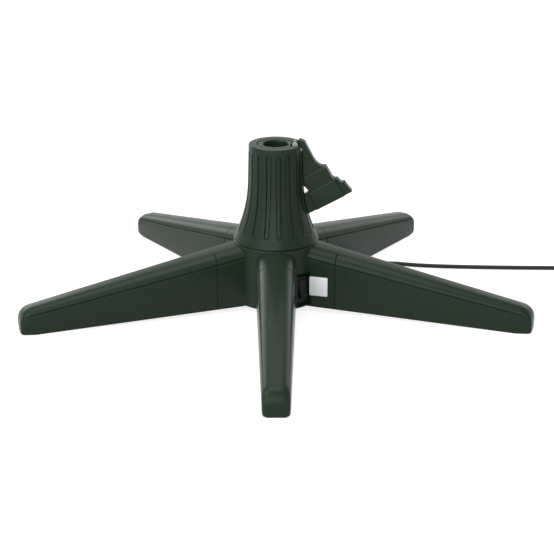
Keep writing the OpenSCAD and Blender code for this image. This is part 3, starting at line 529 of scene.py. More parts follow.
def slab(outline, z0, z1, corner=0.0):
    """A flat outline of (x, y) points raised from z0 to z1, its corners rounded if asked."""
    shape = bmesh.new()
    face = shape.faces.new([shape.verts.new((x, y, z0)) for x, y in outline])
    grown = bmesh.ops.extrude_face_region(shape, geom=[face])["geom"]
    upper = [g for g in grown if isinstance(g, bmesh.types.BMVert)]
    bmesh.ops.translate(shape, vec=(0, 0, z1 - z0), verts=upper)
    merged(shape)
    if corner:
        upright = [e for e in shape.edges if abs(e.verts[0].co.z - e.verts[1].co.z) > 0.5*(z1 - z0)]
        rounded(shape, upright, corner, clamp=True)
    return shape


def combined(shape, tool, operation):
    """A closed shape cut by another ("DIFFERENCE") or fused with it ("UNION")."""
    whole, other = (linked("part", meshed("part", part)) for part in (shape, tool))
    step = whole.modifiers.new("step", "BOOLEAN")
    step.operation, step.solver, step.object = operation, "EXACT", other
    step.use_self = True
    cut = whole.evaluated_get(bpy.context.evaluated_depsgraph_get())
    mesh = bpy.data.meshes.new_from_object(cut)
    result = bmesh.new()
    result.from_mesh(mesh)
    for item in (whole, other):
        old = item.data
        bpy.data.objects.remove(item)
        bpy.data.meshes.remove(old)
    bpy.data.meshes.remove(mesh)
    bmesh.ops.remove_doubles(result, verts=result.verts, dist=MERGE)
    return result


def finished(name, shape, finish, body, node, edge=None, place=None):
    """Turns a shape into a piece that rides on a body and stands for a node."""
    if place is not None:
        shape.transform(place)
    shape.transform(Matrix.Scale(MM, 4))
    mesh = meshed(name, shape)
    for polygon in mesh.polygons:
        polygon.use_smooth = True
    mesh.set_sharp_from_angle(angle=radians(SHARP_ANGLE))
    mesh.materials.append(material(finish))
    piece = linked(name, mesh)
    rounding = piece.modifiers.new("edge_round", "BEVEL")
    rounding.width = sizes().edge_round if edge is None else edge*MM
    rounding.segments = 2
    rounding.limit_method = "ANGLE"
    rounding.angle_limit = radians(SHARP_ANGLE)
    rounding.use_clamp_overlap = True
    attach(piece, body)
    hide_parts(node)
    return piece


def finer_copy(node):
    """A merged copy of a node's own mesh, ready to be rounded."""
    shape = bmesh.new()
    shape.from_mesh(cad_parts[node].data)
    shape.transform(Matrix.Scale(1/MM, 4))
    bmesh.ops.remove_doubles(shape, verts=shape.verts, dist=0.002)
    bmesh.ops.dissolve_limit(
        shape, angle_limit=radians(1.5), verts=shape.verts, edges=shape.edges)
    return shape


def repaint(finish, *nodes):
    """Gives nodes whose shape stays a better material."""
    for name in nodes:
        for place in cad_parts[name].material_slots:
            place.material = material(finish)


# -------------------- shapes: legs

def leg_section(r):
    """Half widths at the foot and the crease, top, crease and lower edge of a leg at r."""
    t = (LEG_REACH - r)/(LEG_REACH - LEG_ROOT)
    rest = LEG_REACH - TIP_ROLL
    low = max(0.0, HUB_LOW*(rest - r)/(rest - LEG_ROOT))
    return *(mix(tip, root, t) for tip, root in zip(LEG_AT_TIP, LEG_AT_ROOT)), low


def both_sides(r, half):
    """A closed ring across the leg at r, from the (width, height) points of one side."""
    return [Vector((r, s, z)) for s, z in half] + [Vector((r, -s, z)) for s, z in reversed(half)]


def leg_ring(r, drawn=0.0):
    """The leg's section at r: lower edge, upright wall, crease, rounded shoulder and flat top.
    It can be drawn in, for the groove at a joint."""
    to_tip = LEG_REACH - r
    half_w, crease_w, top_z, crease_z, low = leg_section(r)
    w = half_w - round_in(TIP_CORNER, to_tip)
    low += round_in(TIP_FOOT, to_tip)
    drop = round_in(TIP_ROLL, to_tip)
    top = top_z - drop
    crease = top - (top_z - crease_z)*(1 - 0.45*drop/TIP_ROLL)
    shoulder, flat = crease_w*w/half_w, LEG_FLAT*w
    # towards the tip the crease fades out and the lower corners round off
    depth = min(1.0, max(0.0, (to_tip - 6)/10))
    corner = max(0.3, TIP_CORNER*(1 - to_tip/20))
    half = [
        (w - corner, low), (w - 0.3*corner, low + 0.3*corner), (w, low + corner),
        (shoulder + CREASE_OUT, crease - CREASE_LOW), (shoulder - depth, crease - 0.6*CREASE_LOW)]
    start = sin(SHOULDER_ANGLE)
    for k in range(SHOULDER_STEPS + 1):
        a = mix(pi/2, SHOULDER_ANGLE, k/SHOULDER_STEPS)
        half.append((
            mix(flat, shoulder, (sin(a) - start)/(1 - start)),
            mix(crease, top, cos(a)/cos(SHOULDER_ANGLE))))
    return both_sides(r, [(s - drawn, z - drawn*z/top) for s, z in half])


def leg_wall(r, z):
    """Half width of the leg's wall at r and z."""
    half_w, crease_w, _, crease_z, low = leg_section(r)
    return mix(half_w, crease_w + CREASE_OUT, (z - low)/(crease_z - CREASE_LOW - low))


def inset_ring(r, inset, low):
    """The same section drawn in, for the hollows and the tongue."""
    half_w, _, top_z, crease_z, _ = leg_section(r)
    crease = crease_z - inset
    return both_sides(r, [
        (leg_wall(r, low) - inset, low), (leg_wall(r, crease) - inset, crease),
        (LEG_FLAT*half_w - 0.3*inset, top_z - inset)])


def leg_stations():
    """Where a leg's sections stand: evenly along it, then closer together round the tip."""
    straight = [mix(STUB_END + 0.8, LEG_REACH - 19, k/10) for k in range(11)]
    roll = [LEG_REACH - TIP_ROLL*(1 - sin(radians(a))) for a in range(0, 73, 9)]
    return straight + roll + [LEG_REACH - d for d in (0.45, 0.2, 0.08, 0)]


def leg_shape():
    """One leg along X: a hollow drafted box, open below, with ribs, a foot and a tongue."""
    first, last = STUB_END + 4, LEG_REACH - 12
    step = (last - first)/POCKETS
    outside = [leg_ring(STUB_END + 0.2, JOINT_GROOVE)] + [leg_ring(r) for r in leg_stations()]
    tongue = [inset_ring(r, LEG_WALL + TONGUE_GAP, COVER_TOP + TONGUE_GAP)
              for r in (TONGUE_START, first + 1)]
    leg = combined(lofted(outside), lofted(tongue), "UNION")

    hollows = [
        lofted([inset_ring(first + k*step + along, LEG_WALL, BELOW) for along in (RIB, step)])
        for k in range(POCKETS)]
    ends = (TONGUE_START + LEG_WALL, STUB_END - 1)
    hollows.append(lofted([inset_ring(r, 2*LEG_WALL + TONGUE_GAP, WEB_TOP) for r in ends]))
    hollows.append(brick(*ends, -13.6, 13.6, BELOW, WEB_LOW))
    leg = combined(leg, joined(*hollows), "DIFFERENCE")

    # the screw's hole in the web, and the slot that lets the tongue pass the stub's boss
    pass_by = STUB_BOSS + TONGUE_GAP
    slot = combined(
        joined((cylinder(pass_by, WEB_TOP, STUB_END), moved(LEG_SCREW_AT, 0, 0))),
        brick(TONGUE_START - 2, LEG_SCREW_AT, -pass_by, pass_by, WEB_TOP, STUB_END), "UNION")
    hole = (cylinder(1.85, WEB_LOW - 1, WEB_TOP - 0.1), moved(LEG_SCREW_AT, 0, 0))
    return combined(leg, joined(hole, slot), "DIFFERENCE")


# -------------------- shapes: hub

def at_gland():
    """From Z to the line on which the cord leaves the hub."""
    return turned(GLAND_DIRECTION) @ moved(0, 0, GLAND_HEIGHT) @ turned(90, "Y")


def hub_shape(steps):
    """The drum with its five leg stubs, deck, bosses and openings."""
    drum = turned_shape([
        (0, HUB_LOW), (HUB_RADIUS, HUB_LOW), *quarter_round(HUB_RADIUS, HUB_TOP, HUB_BROW),
        (0, HUB_TOP)], steps, closed=False)
    stub = [leg_ring(r) for r in (HUB_RADIUS - 7, 58, 68, STUB_END - 0.6)]
    stub.append(leg_ring(STUB_END, JOINT_GROOVE))
    hub = combined(drum, joined(*around(LEGS, lofted, stub)), "UNION")

    # a low rim on the deck centres the column
    near, far, above = 48.7, 50.8, HUB_TOP + 6.4
    void = turned_shape([
        (0, 0), (HUB_INSIDE, 0), (HUB_INSIDE, DECK_LOW), (DECK_OPENING, DECK_LOW),
        (DECK_OPENING, DECK_TOP), (near, DECK_TOP), (near, DECK_TOP + 2), (far, DECK_TOP + 2),
        (far, DECK_TOP), (HUB_INSIDE, DECK_TOP), (HUB_INSIDE, above), (0, above)],
        steps, closed=False)
    pocket = [inset_ring(r, LEG_WALL, BELOW) for r in (HUB_RADIUS + 0.5, STUB_END + 2)]
    hub = combined(hub, joined(void, *around(LEGS, lofted, pocket)), "DIFFERENCE")

    # the last one is the thick back of the switch's niche
    hub = combined(hub, joined(
        *around(LEGS, cylinder, BOSS_RADIUS, COVER_TOP, DECK_LOW + 1, out=BOSS_AT),
        *around(PANELS, cylinder, BOSS_RADIUS, 65.6, DECK_LOW + 1, out=BOSS_AT),
        *around(LEGS, cylinder, STUB_BOSS, WEB_TOP, 78, out=LEG_SCREW_AT),
        *around([SWITCH_DIRECTION], brick, HUB_RADIUS - 8.5, HUB_RADIUS - 1.2, -9.6, 15.6,
                COVER_TOP + 0.3, 57)), "UNION")

    # screw holes, the gland's hole, the switch's niche and the opening behind it
    return combined(hub, joined(
        *around(LEGS, cylinder, SCREW_HOLE, 0, COVER_TOP + 14, out=BOSS_AT),
        *around(PANELS, cylinder, SCREW_HOLE, 64, 75, out=BOSS_AT),
        *around(LEGS, cylinder, SCREW_HOLE, WEB_LOW, 57, out=LEG_SCREW_AT),
        (cylinder(6.2, HUB_INSIDE - 5, HUB_INSIDE + 10), at_gland()),
        *around([SWITCH_DIRECTION], brick, HUB_RADIUS - 5.5, HUB_RADIUS + 10, -6.6, 12.6,
                9.6, 54.6, 1.2),
        *around([SWITCH_DIRECTION], brick, HUB_RADIUS - 15, HUB_RADIUS - 5, -3.9, 9.9,
                SWITCH_HEIGHT - 15.2, SWITCH_HEIGHT + 15.2)), "DIFFERENCE")


# -------------------- shapes: column

def column_radius(z):
    """Outer radius of the column: a slight draft, and a flare towards the foot."""
    flare = HUB_RADIUS - RIM_RADIUS - (RIM_TOP - SEAM)*COLUMN_DRAFT
    share = max(0.0, (FLARE_TOP - z)/(FLARE_TOP - SEAM))
    return RIM_RADIUS + (RIM_TOP - z)*COLUMN_DRAFT + flare*share**FLARE_POWER


def flute_place(half_w, z):
    """Half width of a flute at a height, and the nearest height on its middle line."""
    spine = min(max(z, FLUTE_LOW + half_w), FLUTE_HIGH - half_w)
    return sqrt(max(0.0, half_w*half_w - (z - spine)**2)), spine


def skin_heights(half_w):
    """Rows of the column's skin, closer together round the ends of the flutes."""
    first, last = FLUTE_LOW + half_w, FLUTE_HIGH - half_w
    plain = [round(mix(SEAM, FLARE_TOP, k/24), 3) for k in range(25)]
    plain += [180, 190, 200, RIM_TOP - RIM_ROUND]
    plain = [z for z in plain
             if not (FLUTE_LOW - 0.4 < z < first + 0.3 or last - 0.3 < z < FLUTE_HIGH + 0.4)]
    arcs = [half_w*sin(radians(a)) for a in range(0, 91, 10)]
    return sorted({*plain, *(round(z, 3) for s in arcs for z in (first - s, last + s))})


def flute_press(inside):
    """How deep a flute is, as a share, from its edge (0) to its middle (1): a wall, a groove
    along the wall and a shallower floor."""
    wall, floor, floor_depth = 0.13, 0.4, 0.55
    if inside < wall:
        return inside/wall
    return mix(1.0, floor_depth, min(1.0, (inside - wall)/(floor - wall)))


def fluted_skin():
    """The outside of the column, with its flutes pressed in."""
    half_w, depth = sizes().flute_width/MM/2, sizes().flute_depth/MM
    heights = skin_heights(half_w)
    # lines across one sector: shares of the flute's half width up to 1, then steps of the land
    across = [0.0, 0.3, 0.55, 0.66, 0.78, 0.87, 0.94, 1.0]
    lines = [-4, -3, -2] + [-a for a in reversed(across)] + across[1:] + [2, 3, 4]
    cells, rows = len(lines) - 1, len(heights) - 1
    sector = bmesh.new()
    grid = bmesh.ops.create_grid(sector, x_segments=cells, y_segments=rows, size=0.5)["verts"]
    for vert in grid:
        s = lines[round((vert.co.x + 0.5)*cells)]
        z = heights[round((vert.co.y + 0.5)*rows)]
        r = column_radius(z)
        edge, spine = flute_place(half_w, z)
        if abs(s) > 1:
            turn = copysign(mix(edge/r, pi/FLUTES, (abs(s) - 1)/3), s)
        else:
            turn = s*edge/r
            inside = max(0.0, half_w - hypot(s*edge, z - spine))/half_w
            r -= depth*flute_press(inside)
        vert.co = (r*cos(turn), r*sin(turn), z)
    bmesh.ops.remove_doubles(sector, verts=sector.verts, dist=MERGE)
    skin = joined(*around([FLUTE_START + 360/FLUTES*k for k in range(FLUTES)], sector.copy))
    sector.free()
    return skin


def column_shape(steps):
    """The turning shell: fluted skin, rim, lip, inner wall and the posts for its screws."""
    seat = FLANGE_TOP + 1
    inside = quarter_round(column_radius(RIM_TOP - RIM_ROUND), RIM_TOP, RIM_ROUND)
    inside += [(LIP_RADIUS, RIM_TOP), (LIP_RADIUS, COLLAR_LOW)]
    inside += [(column_radius(z) - COLUMN_WALL, z)
               for z in (COLLAR_LOW, 170, 160, 150, 140, 130, 120, 110, 102, seat)]
    # a lip below the foot hides the race from outside
    inside += [(49.3, seat), (49.3, 86.5), (51.3, 86.5), (51.3, SEAM), (column_radius(SEAM), SEAM)]
    wall = turned_shape(inside, steps, closed=False, start=FLUTE_START)
    notch = around([NOTCH_DIRECTION], brick, LIP_RADIUS - 2, LIP_RADIUS + 18,
                   -NOTCH_HALF, NOTCH_HALF, NOTCH_LOW, NOTCH_HIGH, 0.9)
    whole = combined(merged(joined(fluted_skin(), wall)), joined(*notch), "DIFFERENCE")
    foot, head = 95.5, 109.5
    post = [(1.5, foot), (3.4, foot), (3.4, head), (1.5, head)]
    return joined(
        whole, *around(POSTS, turned_shape, post, 24, out=POST_AT),
        *around(POSTS, brick, 45.2, column_radius(109) - 2, -1.2, 1.2, foot, head - 1.5))


def sleeve_shape():
    """The sleeve round the pole, with its flange, collar and six ribs."""
    bore = sizes().pole_radius/MM
    floor, hole = FLANGE_LOW + 6.8, 1.95  # the hole takes the slip disc's screw
    sleeve = turned_shape([
        (hole, FLANGE_LOW), (49, FLANGE_LOW), (49, FLANGE_TOP), (SLEEVE_RADIUS + 1.5, FLANGE_TOP),
        (SLEEVE_RADIUS, FLANGE_TOP + 1.5), (SLEEVE_RADIUS, COLLAR_LOW), (COLLAR_RADIUS, COLLAR_LOW),
        (COLLAR_RADIUS, RIM_TOP - 0.5), (COLLAR_RADIUS - 0.5, RIM_TOP), (bore + 2.0, RIM_TOP),
        (bore + 1.0, RIM_TOP - 0.35), (bore, RIM_TOP - 1.9), (bore, floor), (hole, floor)], 96)
    ribs = around(range(16, 376, 60), brick, bore + 1, 31.1, -1.2, 1.2,
                  FLANGE_LOW + 0.5, COLLAR_LOW - 6)
    sleeve = combined(sleeve, joined(*ribs), "UNION")
    # the clip's notch, then the holes and head recesses of the shell's screws
    return combined(sleeve, joined(
        *around([NOTCH_DIRECTION], brick, SLEEVE_RADIUS, SLEEVE_RADIUS + 20,
                -NOTCH_HALF, NOTCH_HALF, NOTCH_LOW, NOTCH_HIGH),
        *around(POSTS, cylinder, 1.65, FLANGE_LOW + 2.1, FLANGE_LOW + 6, out=POST_AT),
        *around(POSTS, cylinder, 2.9, FLANGE_LOW - 1, FLANGE_LOW + 2.2, out=POST_AT)), "DIFFERENCE")


# -------------------- shapes: outlet block

def block_place():
    """From the block's own axes, X across and Y up, to the upright plane that it hangs in."""
    return moved(*BLOCK_MIDDLE, 0) @ turned(BLOCK_LEAN)


def upright_plane():
    """From that plane, X outwards, Y up and Z towards the camera, to the stand's own axes."""
    return turned(BLOCK_DIRECTION) @ turned(90, "X")


def block_outline():
    """The stepped outline, from the lower outer corner up to the neck and down the near side."""
    w = sizes().block_width/MM/2
    step = NOTCH_LOW + 2.2
    wall = column_radius(step) + BLOCK_GAP
    outer = [
        (w, 0), (w - 2.9, 16.5), (w - 6.6, 17), (w - 7.3, 20.2), (w - 8.2, 24.4), (w - 11.8, 25.6),
        (w - 13.4, 28), (w - 13.6, 45.3), (w - 15.8, 46.4), (w - 19.6, 49.4), (w - 21.8, 54.8),
        (w - 22.8, 60.8), (9, 86), (4.4, 92)]
    neck = [
        (NECK_AT - 0.4, HINGE_HEIGHT + 6), (NECK_AT, HINGE_HEIGHT - 0.6),
        (NECK_AT + 1.2, HINGE_HEIGHT - 2.6), (wall - 1.2, step + 2), (wall, step)]
    # the side towards the column is open only at the step between the two upper tiers
    near = [(wall - 6, BLOCK_MIDDLE[1] + 43), (wall - 6, 168)]
    inner = [(13.4 - w, 28), (11.8 - w, 25.6), (5 - w, 24.6), (-w - 3, 16.5), (-w - 3.5, 0)]
    own = block_place()
    outer, inner = ([(own @ Vector((x, y, 0)))[:2] for x, y in side] for side in (outer, inner))
    return outer + neck + near + inner


def slot_pair():
    """Two blade slots, one wider than the other, cut into a face that looks down -Y."""
    return joined(*[
        brick(x - 0.9, x + 0.9, -2, 14, -half, half)
        for x, half in ((-BLADE_SPACING/2, 3.7), (BLADE_SPACING/2, 4.4))])


def half_block(near):
    """One half of the outlet block, with its two raised panels and its slots cut."""
    own = block_place()
    w, thick = sizes().block_width/MM/2, sizes().block_thickness/MM/2
    top = RIM_TOP - 5.8
    column = [(column_radius(z) + BLOCK_GAP, z) for z in [SEAM + 8*k for k in range(15)] + [top]]
    column = slab(column + [(0, top), (0, SEAM)], -20, 20)
    shape = combined(slab(block_outline(), 0.05, thick + 2), column, "DIFFERENCE")
    # each raised panel has a broad round shoulder that runs down into the tier behind it;
    # its lower and upper face, its half width at the foot and at the head, and its end
    panels = []
    for low, height, foot, head, end in ((-1, 6.6, 21.6, 18.6, 47), (-2, thick, 21.3, 20, 25.8)):
        outline = [(-foot, low - 4), (foot, low - 4), (head, end), (-head, end)]
        panel = slab(outline, low, height, 2.5)
        rounded(panel, edges_where(panel, lambda co: abs(co.z - height) < 0.01), 2.4, 6)
        panels.append(panel)
    panels = joined((combined(*panels, "UNION"), own))
    outside = combined(brick(-40, 160, 60, 260, 5.2, 20), panels, "DIFFERENCE")
    shape = combined(shape, outside, "DIFFERENCE")
    sides = [own @ moved(s*(w - 1.6), OUTLET_AT, 0) @ turned(80*s) for s in (1, -1)]
    pairs = joined(*[(slot_pair(), place) for place in (own, *sides)])
    shape = combined(shape, pairs, "DIFFERENCE")
    if not near:
        bmesh.ops.scale(shape, vec=(1, 1, -1), verts=shape.verts)
        bmesh.ops.recalc_face_normals(shape, faces=shape.faces)
    return shape


# -------------------- shapes: the cord

def coil_points():
    """Turns inwards on the floor, a climb, then as many turns outwards on top of them."""
    pitch = (COIL_OUTER - COIL_INNER)/COIL_TURNS
    turns = [k/COIL_STEPS for k in range(COIL_TURNS*COIL_STEPS + 1)]
    climb = [4*k/COIL_STEPS for k in range(1, COIL_STEPS//4)]
    points = [(90 - 360*t, COIL_OUTER - pitch*t, LAYER_LOW) for t in turns]
    points += [(90 - 90*t, COIL_INNER, mix(LAYER_LOW, LAYER_HIGH, t*t*(3 - 2*t))) for t in climb]
    points += [(-360*t, COIL_INNER + pitch*t, LAYER_HIGH) for t in turns]
    x, y = COIL_CENTRE
    return [(x + r*cos(radians(a)), y + r*sin(radians(a)), z) for a, r, z in points]


def smooth_line(name, points, radius):
    """One open smooth curve through points in millimetres, with a round section."""
    line = bpy.data.curves.new(name, "CURVE")
    line.dimensions = "3D"
    line.resolution_u = line.render_resolution_u = 6
    line.bevel_depth = radius*MM
    line.bevel_resolution = 5
    line.use_fill_caps = True
    spline = line.splines.new("BEZIER")
    spline.bezier_points.add(len(points) - 1)
    for knot, point in zip(spline.bezier_points, points):
        knot.co = [c*MM for c in point]
        knot.handle_left_type = knot.handle_right_type = "AUTO"
    return linked(name, line)


def plug_shape(radius):
    """The plug's body: a waisted block, and a cone with four grooves that let it bend."""
    x, y, z = PLUG_AT
    body = brick(x - 11, x + 11, PLUG_FRONT, y, 0.1, 14.1)
    rounded(body, [e for e in body.edges if abs(e.verts[0].co.y - e.verts[1].co.y) > 1], 3, 5)
    front = edges_where(body, lambda co: co.y < PLUG_FRONT + 0.1)
    rounded(body, front + edges_where(body, lambda co: co.y > y - 0.1), 1.0)
    waist = joined(*[(cylinder(3.4, -2, 17), moved(x + s*12.4, 10.2, 0)) for s in (-1, 1)])
    body = combined(body, waist, "DIFFERENCE")
    end = radius + 0.8
    cone = [(0, -3), (5.6, -3), (5.4, 0)]
    for at in (2 + 2.8*k for k in range(4)):
        r = mix(5.4, end, at/14)
        cone += [(r, at), (r - 0.7, at + 0.3), (r - 0.7, at + 1.2), (r - 0.25, at + 1.5)]
    cone += [(end, 13.5), (end - 0.3, 14), (0, 14)]
    nose = joined((turned_shape(cone, 40, closed=False), moved(x, y, z) @ turned(-90, "X")))
    return combined(body, nose, "UNION")


def blade_shape(side):
    """One of the plug's two flat blades, with the hole near its end."""
    x, _, z = PLUG_AT
    x += side*BLADE_SPACING/2
    end = PLUG_FRONT - 17
    blade = brick(x - 0.75, x + 0.75, end, PLUG_FRONT, z - 3.15, z + 3.15)
    rounded(blade, edges_where(blade, lambda co: co.y < end + 0.1), 0.6)
    hole = joined((cylinder(1.5, -5, 5), moved(x, end + 4.5, z) @ turned(90, "Y")))
    return combined(blade, hole, "DIFFERENCE")


def gland_shape(radius):
    """The strain relief: a clamped flange, then a ribbed cone down to the cord."""
    wall, end = HUB_RADIUS + 2.6, radius + 0.9
    profile = [
        (0, HUB_INSIDE - 6), (8, HUB_INSIDE - 6), (8, HUB_INSIDE - 1.6), (6, HUB_INSIDE - 1.6),
        (6, HUB_RADIUS + 0.2), (8, HUB_RADIUS + 0.2), (8, HUB_RADIUS + 1.2),
        (7.6, HUB_RADIUS + 1.6), (6, wall)]
    for at in (HUB_RADIUS + 4 + 3.8*k for k in range(6)):
        r = mix(5.9, end, (at - wall)/(85 - wall))
        profile += [(r, at), (r - 0.7, at + 0.35), (r - 0.7, at + 1.7), (r - 0.2, at + 2.05)]
    profile += [(end, 84.4), (end - 0.4, 85), (0, 85)]
    return turned_shape(profile, 48, closed=False)


# -------------------- operators

class STAND_OT_camera(Operator):
    """Sets the camera where the photograph was taken from"""
    bl_idname = "stand.camera"
    bl_label = "Camera"

    def execute(self, context):
        data = bpy.data.cameras.new("product_camera")
        data.sensor_width = 36
        data.lens = CAMERA_LENS
        data.clip_start, data.clip_end = 0.05, 60
        data.dof.use_dof = False
        camera = linked("product_camera", data)
        camera.matrix_world = moved(*CAMERA_PLACE) @ turned(CAMERA_TILT, "X") @ turned(CAMERA_ROLL)
        context.scene.camera = camera
        return {"FINISHED"}


class STAND_OT_mains_cord(Operator):
    """Makes the mains cord, its strain relief and its plug"""
    bl_idname = "stand.mains_cord"
    bl_label = "Mains Cord"

    def execute(self, context):
        radius = sizes().cord_diameter/MM/2
        cord = smooth_line("mains_cord", CORD_ROUTE + coil_points() + CORD_TAIL, radius)
        cord.data.materials.append(material("vinyl"))
        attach(cord, "base")
        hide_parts("cord_run", "cord_coil", "cord_tail")
        plug = finished("plug_moulding", plug_shape(radius), "vinyl", "base", "plug_body", 0.3)
        blades = joined(*[blade_shape(side) for side in (-1, 1)])
        pins = finished("plug_pins", blades, "brass", "base", "plug_blades", 0.15)
        context.view_layer.update()
        finished(
            "strain_relief", gland_shape(radius), "vinyl", "base", "cord_gland", 0.2, at_gland())
        return {"FINISHED"}


class STAND_OT_legs(Operator):
    """Moulds the five hollow legs"""
    bl_idname = "stand.legs"
    bl_label = "Legs"

    def execute(self, context):
        pattern = leg_shape()
        for node, direction in LEG_DIRECTIONS.items():
            finished(
                "moulded_" + node, pattern.copy(), "body", "base", node, place=turned(direction))
        pattern.free()
        return {"FINISHED"}


class STAND_OT_hub(Operator):
    """Moulds the hub with its five leg stubs"""
    bl_idname = "stand.hub"
    bl_label = "Hub"

    def execute(self, context):
        finished("hub_moulding", hub_shape(sizes().turn_steps), "body", "base", "base_housing")
        finished("hub_cover", finer_copy("base_cover"), "inner", "base", "base_cover", 0.3)
        return {"FINISHED"}


class STAND_OT_column(Operator):
    """Moulds the fluted column and the sleeve inside it"""
    bl_idname = "stand.column"
    bl_label = "Column and Sleeve"

    def execute(self, context):
        shell = column_shape(sizes().turn_steps)
        finished("fluted_column", shell, "body", "column", "column_shell", 0.12)
        finished("pole_socket", sleeve_shape(), "body", "column", "pole_sleeve")
        finished("light_clip", finer_copy("lead_grommet"), "clip", "column", "lead_grommet", 0.5)
        return {"FINISHED"}


class STAND_OT_outlet_block(Operator):
    """Moulds the outlet block's halves and its hinged lead end"""
    bl_idname = "stand.outlet_block"
    bl_label = "Outlet Block"

    def execute(self, context):
        for name, near, node in (
                ("outlet_half_near", True, "tap_front"), ("outlet_half_far", False, "tap_back")):
            finished(name, half_block(near), "body", "outlets", node, 0.4, upright_plane())
        finished("outlet_lead_end", finer_copy("tap_lead"), "vinyl", "outlets", "tap_lead", 0.4)
        repaint("brass", "tap_contacts")
        return {"FINISHED"}


class STAND_OT_switch(Operator):
    """Makes the rocker switch and the blank sticker beside it"""
    bl_idname = "stand.switch"
    bl_label = "Switch and Sticker"

    def execute(self, context):
        finished("switch_case", finer_copy("switch_body"), "nylon", "base", "switch_body", 0.4)
        finished("switch_key", finer_copy("switch_rocker"), "nylon", "rocker", "switch_rocker", 0.5)
        # pressed on the near wall of the right leg's stub
        sheet = brick(*LABEL_ALONG, -0.25, 0.15, *LABEL_HEIGHTS)
        for corner in sheet.verts:
            corner.co.y -= leg_wall(corner.co.x, corner.co.z)
        rounded(sheet, [e for e in sheet.edges if e.calc_length() < 0.6], 1.6, 5)
        finished("blank_sticker", sheet, "paper", "base", "blank_label", 0.05,
                 turned(LEG_DIRECTIONS["leg_right"]))
        return {"FINISHED"}


class STAND_OT_works(Operator):
    """Finishes the bearing, the drive and the fasteners"""
    bl_idname = "stand.works"
    bl_label = "Inner Works"

    def execute(self, context):
        repaint("zinc", "leg_screws", "cover_screws", "bracket_screws", "motor_screws",
                "gear_screws", "shell_screws", "slip_disc_screw", "motor_bracket", "motor_can")
        repaint("ground", "lower_race", "upper_race", "bearing_balls", "output_shaft")
        repaint("acetal", "ball_cage", "drive_pinion", "ring_gear")
        repaint("phosphate", "gear_case", "retaining_ring")
        repaint("brass", "slip_rings")
        repaint("nylon", "slip_disc", "brush_block")
        repaint("carbon", "brushes")
        return {"FINISHED"}


def white_floor():
    """Paper that looks white, and still takes shadows."""
    paper = bpy.data.materials.new("white_floor")
    paper.use_nodes = True
    tree = paper.node_tree
    tree.nodes.clear()
    ray = add(tree, "ShaderNodeLightPath").outputs
    seen = maths(tree, "MAXIMUM", ray["Is Camera Ray"], ray["Is Glossy Ray"])
    seen = maths(tree, "MAXIMUM", seen, ray["Is Transmission Ray"])
    lift = maths(tree, "MULTIPLY", seen, FLOOR_LIFT)
    grey = add(tree, "ShaderNodeBsdfDiffuse", {"Color": FLOOR_GREY})
    glow = add(tree, "ShaderNodeEmission", {"Color": WHITE, "Strength": lift})
    both = add(tree, "ShaderNodeAddShader", {0: grey.outputs[0], 1: glow.outputs[0]})
    add(tree, "ShaderNodeOutputMaterial", {"Surface": both.outputs[0]})
    return paper


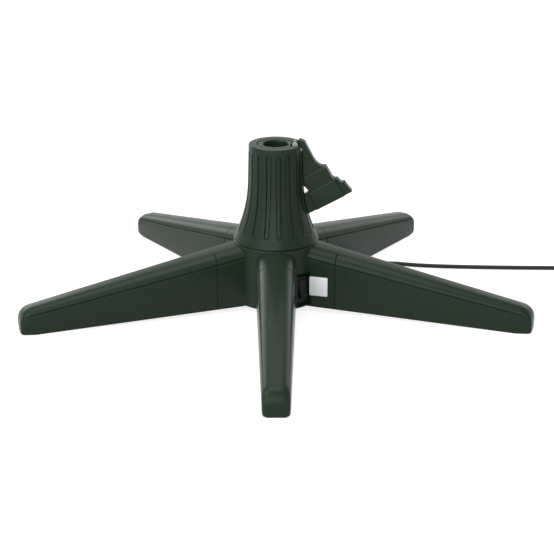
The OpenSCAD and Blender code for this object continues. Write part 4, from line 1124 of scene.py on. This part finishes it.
def studio_world():
    """White where the camera looks, and for the stand a bright sweep low down behind it, with a
    dimmer room above and behind the camera."""
    world = bpy.data.worlds.new("studio_world")
    world.use_nodes = True
    tree = world.node_tree
    tree.nodes.clear()
    ray = add(tree, "ShaderNodeLightPath").outputs
    toward = add(tree, "ShaderNodeTexCoord").outputs["Generated"]
    part = add(tree, "ShaderNodeSeparateXYZ", {0: toward}).outputs
    back = ranged(tree, part["Y"], 0.3, 1.0, -0.5, 0.4)
    over = ranged(tree, part["Z"], 0.85, 0.32, 0.36, 0.66)
    low = ranged(tree, part["Z"], 1.0, 0.0, 0.3, 0.5)
    level = maths(tree, "MULTIPLY", back, over)
    shine = maths(tree, "MULTIPLY", ray["Is Glossy Ray"], low)
    seen = maths(tree, "MAXIMUM", ray["Is Camera Ray"], ray["Is Transmission Ray"])
    seen = maths(tree, "MAXIMUM", seen, shine)
    dim = add(tree, "ShaderNodeBackground", {"Color": WHITE, "Strength": level})
    plain = add(tree, "ShaderNodeBackground", {"Color": WHITE, "Strength": 1.0})
    mixed = add(tree, "ShaderNodeMixShader", {0: seen, 1: dim.outputs[0], 2: plain.outputs[0]})
    add(tree, "ShaderNodeOutputWorld", {"Surface": mixed.outputs[0]})
    return world


class STAND_OT_stage(Operator):
    """Sets the white floor, the world and the soft lamps"""
    bl_idname = "stand.stage"
    bl_label = "Stage"

    def execute(self, context):
        context.scene.view_settings.view_transform = "Standard"
        context.scene.world = studio_world()
        ground = bmesh.new()
        bmesh.ops.create_grid(ground, x_segments=4, y_segments=4, size=14)
        floor = linked("studio_floor", meshed("studio_floor", ground))
        floor.data.materials.append(white_floor())
        floor.location.z = FLOOR_LEVEL
        for name, place, size, power in LAMPS:
            data = bpy.data.lights.new(name, "AREA")
            data.size = size
            data.energy = power
            lamp = linked(name, data)
            lamp.location = place
            aim = Vector(LAMP_AIM) - Vector(place)
            lamp.rotation_euler = aim.to_track_quat("-Z", "Y").to_euler()
        return {"FINISHED"}


class STAND_PT_parts(Panel):
    """Lists the settings, and what makes the stand, in order"""
    bl_label = "Tree Stand"
    bl_idname = "STAND_PT_parts"
    bl_space_type = "VIEW_3D"
    bl_region_type = "UI"
    bl_category = "Tree Stand"

    def draw(self, context):
        layout = self.layout
        for group in (context.scene.stand_sizes, context.scene.stand_colours):
            for name in group.__annotations__:
                layout.prop(group, name)
        for step in STEPS:
            layout.operator(step.bl_idname)


STEPS = (
    STAND_OT_camera, STAND_OT_mains_cord, STAND_OT_legs, STAND_OT_hub, STAND_OT_column,
    STAND_OT_outlet_block, STAND_OT_switch, STAND_OT_works, STAND_OT_stage,
)
CLASSES = (StandSizes, StandColours, *STEPS, STAND_PT_parts)


def register():
    for made in CLASSES:
        bpy.utils.register_class(made)
    bpy.types.Scene.stand_sizes = PointerProperty(type=StandSizes)
    bpy.types.Scene.stand_colours = PointerProperty(type=StandColours)


def unregister():
    del bpy.types.Scene.stand_colours
    del bpy.types.Scene.stand_sizes
    for made in reversed(CLASSES):
        bpy.utils.unregister_class(made)


def main():
    register()
    for step in STEPS:
        getattr(bpy.ops.stand, step.bl_idname.removeprefix("stand."))()


if __name__ == "__main__":
    main()
